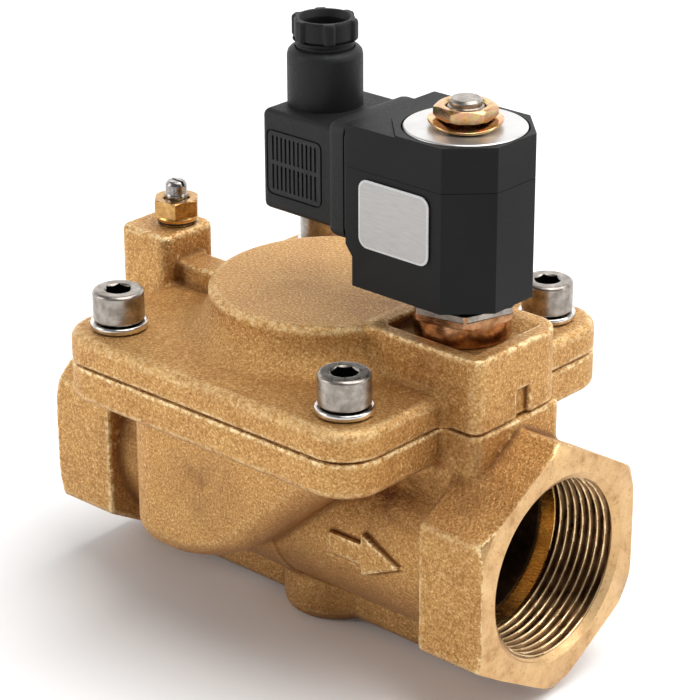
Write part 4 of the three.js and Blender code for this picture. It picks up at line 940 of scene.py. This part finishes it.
def face_off(piece):
    """Cuts both ends to the machined faces and gives those faces the machined finish."""
    for material in (BRASS, FACED, INSIDE):
        piece.data.materials.append(material)
    work = bmesh.new()
    work.from_mesh(piece.data)
    for sign in (-1, 1):
        everything = work.verts[:] + work.edges[:] + work.faces[:]
        plane = (sign * FACE_X * MM, 0, 0)
        made = bmesh.ops.bisect_plane(
            work, geom=everything, plane_co=plane, plane_no=(sign, 0, 0), clear_outer=True, dist=MERGE_M)
        rim = [e for e in made["geom_cut"] if isinstance(e, bmesh.types.BMEdge)]
        filled = bmesh.ops.triangle_fill(work, edges=rim, use_beauty=True)["geom"]
        for face in filled:
            if isinstance(face, bmesh.types.BMFace):
                face.material_index = 1
                face.normal_update()
                if face.normal.x * sign < 0:
                    face.normal_flip()
                for edge in face.edges:
                    edge.smooth = len(edge.link_faces) != 2 or edge.calc_face_angle(0) < 0.3
    for face in work.faces:
        x, y, z = face.calc_center_median() / MM
        flow, inward = math.hypot(y, z - FLOW_Z), FACE_X - abs(x)
        if inward < 3.0 and flow > 28.5 and 0.6 < abs(face.normal.x) < 0.97:
            face.material_index = 1
        # Faces deep in the passages get the painted passage shade.
        elif flow < SOCKET_R + 0.3 and inward > SOCKET_DEPTH - 0.5:
            face.material_index = 2
    work.to_mesh(piece.data)
    work.free()
    shade(piece, 30)


def cast_cover():
    space = Space((-66.5, -HALF - 1.5, COVER_Z - 1.5), (BLOCK[1] + 1.5, HALF + 1.5, BLEED_TOP_Z + 1.5), STEP)
    piece = space.mesh("cover_casting", cover_field(space))
    return finish_piece(piece, "valve", ["valve_cover"], [BRASS])


def port_thread(name, sign):
    """The cut thread of a port: mouth chamfer, right-hand thread and a smooth band to the channel."""
    pitch, depth = 2.309, 1.48
    mouth, band_start, band_end = 1.6, 18.5, SOCKET_DEPTH + 0.6
    band_r, band_end_r, mouth_depth = PORT_R + 0.25, CHANNEL_R + 0.5, 2.4
    inner_r, outer_r, back = 24.3, 25.6, 1.0
    sides = 132
    angles = np.linspace(0, 2 * math.pi, sides, endpoint=False)
    depths = np.linspace(0, band_end, 190)
    rows = []

    def add_row(d, radius):
        x = sign * (FACE_X - d)
        radii = radius * np.ones(sides)
        rows.append([(x, r * math.cos(a), FLOW_Z + r * math.sin(a)) for a, r in zip(angles, radii)])

    for d in depths:
        wave = np.abs(((d / pitch + sign * angles / (2 * math.pi)) % 1.0) - 0.5) * 2
        wave = np.clip(wave * 1.25 - 0.125, 0, 1)
        radius = np.maximum(PORT_R + depth * wave, PORT_R + mouth_depth * max(0.0, 1 - d / mouth))
        if d > band_start:
            smooth = band_r + (band_end_r - band_r) * (d - band_start) / (band_end - band_start)
            blend = min(1.0, (d - band_start) / 0.5)
            radius = radius * (1 - blend) + smooth * blend
        add_row(d, radius)
    sleeve_end, hex_depth = band_end + back, FACE_X - HEX_X
    for d, r in (
        (sleeve_end, band_end_r), (sleeve_end, inner_r), (hex_depth - 1, inner_r),
        (hex_depth - 2, outer_r), (0.4, outer_r),
    ):
        add_row(d, r)
    piece = object_from(name, *ring_grid(rows, True), 50.0)
    for polygon in piece.data.polygons:
        x, y, z = polygon.center / MM
        inward = FACE_X - abs(x)
        if inward < mouth * 0.8:
            polygon.material_index = 2
        elif inward > band_start + 0.3:
            polygon.material_index = 3
        elif math.hypot(y, z - FLOW_Z) < PORT_R + 0.27:
            polygon.material_index = 1
    return finish_piece(piece, "valve", (), [FLANKS, CRESTS, FACED, BRIGHT_BRASS])


cast_body()
cast_cover()
port_thread("outlet_thread", 1)
port_thread("inlet_thread", -1)


# -------------------- cover screws and washers
screw_low, screw_high = box_mm("cover_screw_1")
lock_low, lock_high = box_mm("split_washer_1")
HEAD_TOP_Z = screw_high[2]
HEAD_R = 6.5
WASHER_LOW_Z, WASHER_HIGH_Z = lock_low[2], lock_high[2]
SCREW_TIP_Z = screw_low[2]
SOCKET_DEEP = 4.2


def cap_screw(index, centre, turn):
    head_z = WASHER_HIGH_Z + 0.3
    profile = capped([
        (3.1, SCREW_TIP_Z), (3.9, SCREW_TIP_Z + 1), (3.9, head_z), (HEAD_R - 0.4, head_z),
        (HEAD_R, head_z + 0.4), (HEAD_R, HEAD_TOP_Z - 0.55), (HEAD_R - 0.7, HEAD_TOP_Z),
    ])
    screw = lathe(f"cap_screw_{index}", rounded(profile, 0.45), centre, 64)
    socket = prism("socket", hexagon(6.0, centre, turn), HEAD_TOP_Z - SOCKET_DEEP, HEAD_TOP_Z + 1)
    flare = lathe("flare", capped([(2.9, HEAD_TOP_Z - 0.6), (3.65, HEAD_TOP_Z + 0.15)]), centre, 48)
    cut(screw, socket, flare)
    bevel(screw, 0.16, 2, 35)
    for polygon in screw.data.polygons:
        x, y, z = polygon.center / MM
        down = HEAD_TOP_Z - z
        deep = math.hypot(x - centre[0], y - centre[1]) < 3.6 and 0.35 < down < SOCKET_DEEP + 0.4
        # Faces inside the hex socket get the painted shade.
        polygon.material_index = 1 if deep else 0
    return finish_piece(screw, "valve", [f"cover_screw_{index}"], [STAINLESS, SOCKET_SHADE_BLACK])


def split_washer(index, centre, turn):
    """A square wire bent into one turn, its ends parted by a slanted gap."""
    z0, z1 = WASHER_LOW_Z, WASHER_HIGH_Z
    section = rounded([(4.25, z0), (7.3, z0), (7.3, z1), (4.25, z1)], 0.55)
    gap, steps = math.radians(5), 72
    rows = []
    for t in np.linspace(gap / 2, 2 * math.pi - gap / 2, steps):
        lean = 0.5 * math.cos(t / 2)
        rows.append([on_circle(centre, r, turn + t + lean * (z - z0) / 7.0, z) for r, z in section])
    verts, faces = ring_grid(rows, False)
    count = len(section)
    faces += [tuple(range(count)), tuple(range((steps - 1) * count, steps * count))]
    piece = object_from(f"lock_washer_{index}", verts, faces, 45.0)
    return finish_piece(piece, "valve", [f"split_washer_{index}"], [POLISHED])


SPOTS = ((-1, -1), (1, -1), (1, 1), (-1, 1))
for number, (spot, hex_turn) in enumerate(zip(SPOTS, (12.0, 42.0, 25.0, 5.0)), 1):
    centre = (spot[0] * SCREW_HALF, spot[1] * SCREW_HALF)
    cap_screw(number, centre, math.radians(hex_turn))
    split_washer(number, centre, VIEW_TURN + 2.3 + 0.35 * number)


# -------------------- bleed screw
NUT_LOW_Z, NUT_TOP_Z = nut_low[2], nut_high[2]
NUT_HEX_Z = 95.6
gasket_low, gasket_high = box_mm("bleed_gasket")
stem_low, stem_high = box_mm("bleed_screw")


def bleed_nut():
    nut = prism("bleed_nut", hexagon(11.0, BLEED, VIEW_TURN), NUT_HEX_Z, NUT_TOP_Z)
    crown = capped([(6.9, NUT_HEX_Z - 1), (6.9, NUT_TOP_Z - 0.75), (5.6, NUT_TOP_Z)])
    combine(nut, lathe("envelope", crown, BLEED, 96), "INTERSECT")
    foot = capped([
        (4.3, NUT_LOW_Z), (4.3, gasket_high[2] + 0.05), (5.5, gasket_high[2] + 0.1),
        (5.7, NUT_HEX_Z - 0.5), (5.1, NUT_HEX_Z + 0.2),
    ])
    combine(nut, lathe("foot", foot, BLEED, 64), "UNION")
    bore = capped([(3.35, NUT_LOW_Z - 1), (3.35, NUT_TOP_Z - 0.5), (3.9, NUT_TOP_Z + 0.2)])
    cut(nut, lathe("bore", bore, BLEED, 48))
    bevel(nut, 0.14, 2, 24)
    for polygon in nut.data.polygons:
        polygon.material_index = 1 if polygon.center.z < NUT_HEX_Z * MM else 0
    finish_piece(nut, "valve", ["bleed_gland_nut"], [BRONZE, BRIGHT_BRASS])


def bleed_ring():
    low, high = gasket_low[2], gasket_high[2]
    profile = rounded([(4.45, low), (4.95, low), (4.95, high), (4.45, high)], 0.12)
    finish_piece(lathe("bleed_ring", profile, BLEED, 64), "valve", ["bleed_gasket"], [RUBBER])


def bleed_stem():
    """Pointed at the seat, a groove for its ring, ridges up to the nut's top and a slot in its head."""
    tip, top, thread_r = stem_low[2], stem_high[2], 3.0
    profile = [(0, tip), (1.2, tip + 0.7), (thread_r, tip + 2.2), (thread_r, 89.7)]
    profile += [(1.9, 89.7), (1.9, 91.6), (thread_r, 91.6)]
    for z in np.arange(93.0, NUT_TOP_Z - 1.0, 1.0):
        profile += [(thread_r, z), (thread_r, z + 0.5), (2.72, z + 0.75)]
    profile += [(thread_r, NUT_TOP_Z - 0.2), (thread_r, NUT_TOP_Z + 0.9), (2.8, NUT_TOP_Z + 1.2)]
    profile += [(2.8, top - 1.0), (2.35, top - 0.3), (2.0, top), (0, top)]
    screw = lathe("bleed_stem", rounded(profile, 0.16), BLEED, 48, sharp_deg=50)
    x, y = BLEED
    cut(screw, block("slot", (x - 5, y - 0.4, top - 1.25), (x + 5, y + 0.4, top + 1)))
    tidy_normals(screw, 40)
    finish_piece(screw, "bleed_screw", ["bleed_screw"], [STEM_STEEL])


bleed_nut()
bleed_ring()
bleed_stem()


# -------------------- armature tube
TUBE_HEX_Z = 94.6
TUBE_HEX_TOP_Z = 98.0
# Below this height the tube is painted brown, as a painted reflection of the brass.
TUBE_BAND_Z = 96.5            # the steel band ends and the brown one begins
TUBE_SHOULDER_Z = 89.3
TUBE_SHOULDER_R = 11.8
TUBE_OUTER_R, TUBE_BORE_R = 6.7, 5.8


def tube_base():
    foot = prism("tube_base", hexagon(23.6, TOWER, VIEW_TURN), TUBE_HEX_Z, TUBE_HEX_TOP_Z)
    envelope = capped([(12.7, TUBE_HEX_Z), (13.3, TUBE_HEX_Z + 0.35), (13.3, TUBE_HEX_TOP_Z + 1)])
    combine(foot, lathe("envelope", envelope, TOWER, 128), "INTERSECT")
    low, high = tube_low[2], tube_high[2]
    top = TUBE_HEX_Z + 0.1
    stem = capped([
        (9.0, low), (9.0, TUBE_SHOULDER_Z), (TUBE_SHOULDER_R, TUBE_SHOULDER_Z),
        (TUBE_SHOULDER_R, top), (TUBE_OUTER_R, top), (TUBE_OUTER_R, high),
    ])
    combine(foot, lathe("stem", stem, TOWER, 96), "UNION")
    groove = prism("groove", hexagon(25.2, TOWER, VIEW_TURN), TUBE_BAND_Z - 0.12, TUBE_BAND_Z + 0.12)
    cut(groove, prism("groove_core", hexagon(23.1, TOWER, VIEW_TURN), TUBE_BAND_Z - 1, TUBE_BAND_Z + 1))
    cut(foot, groove, round_bar("bore", TUBE_BORE_R, low - 1, high + 1, TOWER, 64))
    bevel(foot, 0.1, 2, 26)
    # The part below the band gets the painted reflection brown.
    for polygon in foot.data.polygons:
        polygon.material_index = 1 if polygon.center.z < TUBE_BAND_Z * MM else 0
    finish_piece(foot, "valve", ["armature_tube"], [STAINLESS, TUBE_REFLECTION_BROWN])


tube_base()


# -------------------- coil
COIL_LOW_Z, COIL_TOP_Z = coil_low[2], coil_high[2]
COIL_HALF = coil_high[1]
COIL_FRONT_X = coil_high[0]
COIL_SEAT_X = coil_low[0]
COIL_BACK_X = 20.8
CHAMFER = 9.2
CORNER_X = COIL_FRONT_X - CHAMFER
CORNER_Y = COIL_HALF - CHAMFER
CONNECTOR_Z = 124.3
CONNECTOR_LOW_Z, CONNECTOR_LIP_Z = 107.5, 110.2    # the slanted underside of the plug's seat
ROOM_FLOOR_R, COIL_ROOM_R, COIL_ROOM_Z = 7.4, 15.15, 102.5
PARTING_Z = 130.0


def both_sides(outline):
    """An outline in X and Y from its half on the -Y side."""
    return outline + [(x, -y) for x, y in reversed(outline)]


def coil_case():
    octagon = both_sides([(COIL_BACK_X, -COIL_HALF), (CORNER_X, -COIL_HALF), (COIL_FRONT_X, -CORNER_Y)])
    case = prism("coil_body", octagon, COIL_LOW_Z, COIL_TOP_Z)
    top = COIL_TOP_Z - 0.5
    profile = [
        (COIL_BACK_X + 3, CONNECTOR_LOW_Z), (COIL_BACK_X, CONNECTOR_LOW_Z),
        (COIL_SEAT_X, CONNECTOR_LIP_Z), (COIL_SEAT_X, top), (COIL_BACK_X + 3, top),
    ]
    combine(case, lay_along(TOWARDS_LABEL, prism("seat", profile, -COIL_HALF, COIL_HALF)), "UNION")
    back_x = COIL_FRONT_X - 2 * COIL_HALF
    behind = both_sides([
        (COIL_SEAT_X - 2, -COIL_HALF - 2), (back_x + CHAMFER + 2, -COIL_HALF - 2),
        (back_x, -CORNER_Y),
    ])
    cut(case, prism("low_top", behind, top, COIL_TOP_Z + 2))
    room = capped([
        (ROOM_FLOOR_R, COIL_LOW_Z - 1), (ROOM_FLOOR_R, COIL_ROOM_Z),
        (COIL_ROOM_R, COIL_ROOM_Z), (COIL_ROOM_R, COIL_TOP_Z + 1),
    ])
    cut(case, lathe("room", room, TOWER, 96))
    for y, z, wide, tall in (
        (-9, CONNECTOR_Z, 1.4, 6.9), (9, CONNECTOR_Z, 1.4, 6.9), (0, CONNECTOR_Z - 7.8, 6.9, 1.4),
    ):
        low = (COIL_SEAT_X - 1, y - wide / 2, z - tall / 2)
        cut(case, block("slot", low, (24.8, y + wide / 2, z + tall / 2)))
    cut(case, lay_along(ALONG_X, round_bar("screw_hole", 1.8, 17, 24.3, (-CONNECTOR_Z, 0), 24)))
    seam = prism("seam", octagon_ring(0.5), PARTING_Z - 0.07, PARTING_Z + 0.07)
    cut(seam, prism("core", octagon_ring(-0.12), PARTING_Z - 1, PARTING_Z + 1))
    cut(case, seam)
    bevel(case, 0.3, 2, 25)
    finish_piece(case, "coil", ["coil_case"], [COIL_BLACK])


def octagon_ring(out):
    """The coil's outline at the parting line, let out or drawn in a little."""
    slant = out * math.tan(math.pi / 8)
    return both_sides([
        (COIL_SEAT_X - out, -COIL_HALF - out), (CORNER_X + slant, -COIL_HALF - out),
        (COIL_FRONT_X + out, -CORNER_Y - slant),
    ])


def coil_top():
    low, high = (corner[2] for corner in box_mm("coil_top_plate"))
    profile = rounded([(4.9, low), (14.75, low), (14.75, high - 0.25), (14.45, high), (4.9, high)], 0.12)
    finish_piece(lathe("top_disc", profile, TOWER, 128), "coil", ["coil_top_plate"], [PLATE])


def core_stud():
    """The fixed core, whose top stands out of the nut as a ridged stud with a plain end."""
    low, top = (corner[2] for corner in box_mm("fixed_core"))
    stud_r, cap_r, neck_r, ring_r = 4.5, 3.9, 5.5, 6.7
    profile = [(0, low), (3.3, low), (3.3, low + 1.6), (4.7, low + 1.6), (4.7, low), (neck_r, low)]
    profile += [(neck_r, 132.3), (ring_r, 132.3), (ring_r, 138.0), (stud_r, 138.6)]
    for z in np.arange(139.2, top - 2.6, 0.75):
        profile += [(stud_r - 0.3, z), (stud_r, z + 0.35)]
    profile += [(stud_r, top - 2.1), (stud_r - 0.25, top - 1.75), (cap_r, top - 1.6)]
    profile += [(cap_r, top - 0.55), (cap_r - 0.5, top), (0, top)]
    core = lathe("core_stud", profile, TOWER, 72, sharp_deg=40)
    finish_piece(core, "valve", ["fixed_core"], [STAINLESS])


def coil_nut():
    low, high = (corner[2] for corner in box_mm("coil_nut"))
    nut = prism("hex_nut", hexagon(13.3, TOWER, VIEW_TURN + math.pi / 6), low, high)
    crown = capped([(6.9, low), (7.7, low + 0.5), (7.7, high - 0.7), (6.5, high)])
    combine(nut, lathe("envelope", crown, TOWER, 96), "INTERSECT")
    bore = capped([(4.75, low - 1), (4.75, high - 0.5), (5.3, high + 0.1)])
    cut(nut, lathe("bore", bore, TOWER, 64))
    bevel(nut, 0.14, 2, 24)
    finish_piece(nut, "coil_nut", ["coil_nut"], [ZINC])


def wavy_washer():
    z0, thick, outer_r = box_mm("spring_washer")[0][2], 0.6, 9.0
    section = rounded([(4.9, 0), (outer_r, 0), (outer_r, thick), (4.9, thick)], 0.22)
    rows = []
    for a in np.linspace(0, 2 * math.pi, 96, endpoint=False):
        row = []
        for r, z in section:
            across = r * math.cos(a - VIEW_TURN) / outer_r
            row.append(on_circle(TOWER, r, a, z0 + z + 1 - across * across))
        rows.append(row)
    washer = object_from("curved_washer", *ring_grid(rows, True), 50.0)
    finish_piece(washer, "coil_washer", ["spring_washer"], [ZINC])


def label():
    low, high = box_mm("rating_label")
    x0, x1, z0, z1 = low[0], high[0], low[2], high[2]
    back, front, inset = -high[1], -low[1], 0.55
    plate = lay_along(TOWARDS_LABEL, prism("label_plate", round_rect(x0, x1, z0, z1, 2.6), back, front))
    bevel(plate, 0.06, 2, 40)
    inner = round_rect(x0 + inset, x1 - inset, z0 + inset, z1 - inset, 2.1)
    panel = lay_along(TOWARDS_LABEL, prism("label_panel", inner, front - 0.05, front + 0.02))
    finish_piece(plate, "coil", ["rating_label"], [LABEL_RIM])
    finish_piece(panel, "coil", (), [LABEL])


coil_case()
coil_top()
core_stud()
coil_nut()
wavy_washer()
label()


# -------------------- plug connector and cable gland
PLUG_BACK_X = -11.0
PLUG_STEP_X = 10.3
PLUG_FACE_X = plug_high[0]
PLUG_HALF = 13.7
PLUG_LOW_Z, PLUG_HIGH_Z = 111.5, 137.2
SKIRT_HALF = 14.2
SKIRT_LOW_Z, SKIRT_HIGH_Z = 109.6, 139.0
CAVITY_HALF = 11.4
GLAND = (-2.4, 0.0)
GLAND_R = 9.3
TOWER_TOP_Z = plug_high[2]


def soft_box(name, low, high, r):
    return bevel(block(name, low, high), r, 4, 30)


def plug_body():
    back = (PLUG_BACK_X, -PLUG_HALF, PLUG_LOW_Z)
    shell = soft_box("plug_shell", back, (PLUG_STEP_X + 3, PLUG_HALF, PLUG_HIGH_Z), 1.7)
    front = (PLUG_FACE_X + 2, SKIRT_HALF, SKIRT_HIGH_Z)
    skirt = soft_box("skirt", (PLUG_STEP_X, -SKIRT_HALF, SKIRT_LOW_Z), front, 2.6)
    combine(shell, skirt, "UNION")
    cut(shell, block("trim", (PLUG_FACE_X, -20, 100), (PLUG_FACE_X + 9, 20, 150)))
    neck = capped([
        (GLAND_R, PLUG_HIGH_Z - 5), (GLAND_R, TOWER_TOP_Z - 2.0),
        (GLAND_R - 0.25, TOWER_TOP_Z - 1.0), (GLAND_R - 0.9, TOWER_TOP_Z - 0.3),
        (GLAND_R - 1.7, TOWER_TOP_Z),
    ])
    combine(shell, lathe("tower", neck, GLAND, 96), "UNION")
    inner_back = (PLUG_BACK_X + 2, -CAVITY_HALF, PLUG_LOW_Z + 2)
    cut(shell, block("cavity", inner_back, (PLUG_FACE_X + 3, CAVITY_HALF, PLUG_HIGH_Z - 2)))
    bore = capped([(5.4, CONNECTOR_Z), (5.4, 139.5), (7.4, 139.5), (7.4, TOWER_TOP_Z + 1)])
    cut(shell, lathe("gland_bore", bore, GLAND, 64))
    cut(shell, lay_along(ALONG_X, round_bar("screw_hole", 1.7, -13, -8, (-CONNECTOR_Z, 0), 24)))
    for sign in (-1, 1):
        side_grille(shell, sign)
    tidy_normals(shell, 35)
    finish_piece(shell, "plug", ["plug_housing"], [PLUG_BLACK])


def side_grille(shell, sign):
    """Grooves in the flank of the plug: a rounded frame line with two rows of upright slots in it."""
    x0, x1, z0, z1 = PLUG_BACK_X + 1.6, PLUG_STEP_X - 1.4, PLUG_LOW_Z + 4.2, PLUG_HIGH_Z - 4.6

    def flank_tool(outline, low, high):
        tool = lay_along(TOWARDS_LABEL, prism("groove", outline, PLUG_HALF + low, PLUG_HALF + high))
        if sign > 0:
            tool.data.transform(Matrix.Diagonal((1, -1, 1, 1)))
            tidy_normals(tool)
        return tool

    def groove(*sides, r=0.25):
        return flank_tool(round_rect(*sides, r, 3), -0.45, 1)

    line = 0.5
    inner = round_rect(x0 + line, x1 - line, z0 + line, z1 - line, 1.4, 4)
    cut(shell, cut(groove(x0, x1, z0, z1, r=1.9), flank_tool(inner, -2, 3)))
    middle = (z0 + z1) / 2
    for x in np.linspace(x0 + 2.2, x1 - 2.2, 11):
        cut(shell, groove(x - 0.32, x + 0.32, z0 + 1.6, middle - 0.5))
        cut(shell, groove(x - 0.32, x + 0.32, middle + 0.5, z1 - 1.6))


def gland_nut():
    """Six broad ribs with narrow grips between them, on a short neck."""
    low, top = (corner[2] for corner in box_mm("gland_nut"))
    rib_low = 153.5
    ribs = VIEW_TURN + math.radians(8.7)

    def lobed(angle, r, z):
        if r < 7.3 or z < rib_low - 0.01:
            return r
        rib = min(1.0, max(0.0, math.cos(6 * (angle - ribs)) - 0.3) / 0.45)
        rib = rib * rib * (3 - 2 * rib)
        return r - 0.9 * (1 - rib)

    neck = [(5.5, low), (7.1, low), (7.1, rib_low - 1.9), (7.25, rib_low - 1.2), (6.9, rib_low - 0.9)]
    head = [(6.9, rib_low - 0.3), (8.0, rib_low), (8.35, rib_low + 0.5), (8.35, top - 0.6), (8.0, top)]
    mouth = [(6.35, top), (5.5, top - 1.7)]
    nut = lathe("clamp_nut", rounded(neck + head + mouth, 0.25), GLAND, 144, lobed, 40)
    finish_piece(nut, "gland_nut", ["gland_nut"], [PLUG_BLACK])


plug_body()
gland_nut()


# -------------------- pieces for the CAD nodes that the joints deform
GIVING = {                    # CAD node: new piece, the body that its fixed end rides on, and its material
    "diaphragm": ("rubber_diaphragm", "valve", RUBBER),
    "main_spring": ("closing_spring", "valve", SPRING_STEEL),
    "plunger_spring": ("return_spring", "valve", SPRING_STEEL),
    "gland_grommet": ("cable_grommet", "plug", RUBBER),
}


def giving_piece(node):
    """A new piece with the node's own shape, in metres, its material and the body that it rides on."""
    name, body, material = GIVING[node]
    source = frame["nodes"][node]
    piece = bpy.data.objects.new(name, source.data.copy())
    bpy.context.scene.collection.objects.link(piece)
    piece.matrix_world = source.matrix_world.copy()
    piece.data.materials.clear()
    finish_piece(piece, body, [node], [material])
    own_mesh(piece)


for moving in frame["record"]["behaviour"]["joints"]:
    for giving in moving.get("deforming_nodes", []):
        giving_piece(giving["node"])


# -------------------- CAD nodes that are shown as they are
CARRIED = {
    RUBBER: [
        "seat_seal", "plunger_seal", "tube_o_ring",
        "coil_lower_seal", "connector_gasket", "bleed_stem_o_ring",
    ],
    BRIGHT_BRASS: ["seal_holder", "pilot_nozzle", "wire_clamp_1", "wire_clamp_2", "wire_clamp_3"],
    STAINLESS: ["diaphragm_plate", "diaphragm_bolt", "diaphragm_nut"],
    PLAIN_STEEL: ["plunger", "coil_bottom_plate", "coil_yoke"],
    POLISHED: ["contact_pin_1", "contact_pin_2", "ground_pin", "plug_screw", "gland_washer"],
    COPPER: ["shading_ring", "coil_winding"],
    PLUG_BLACK: ["coil_bobbin", "terminal_block"],
}
for material, names in CARRIED.items():
    for name in names:
        mesh = frame["nodes"][name].data
        mesh.materials.clear()
        mesh.materials.append(material)
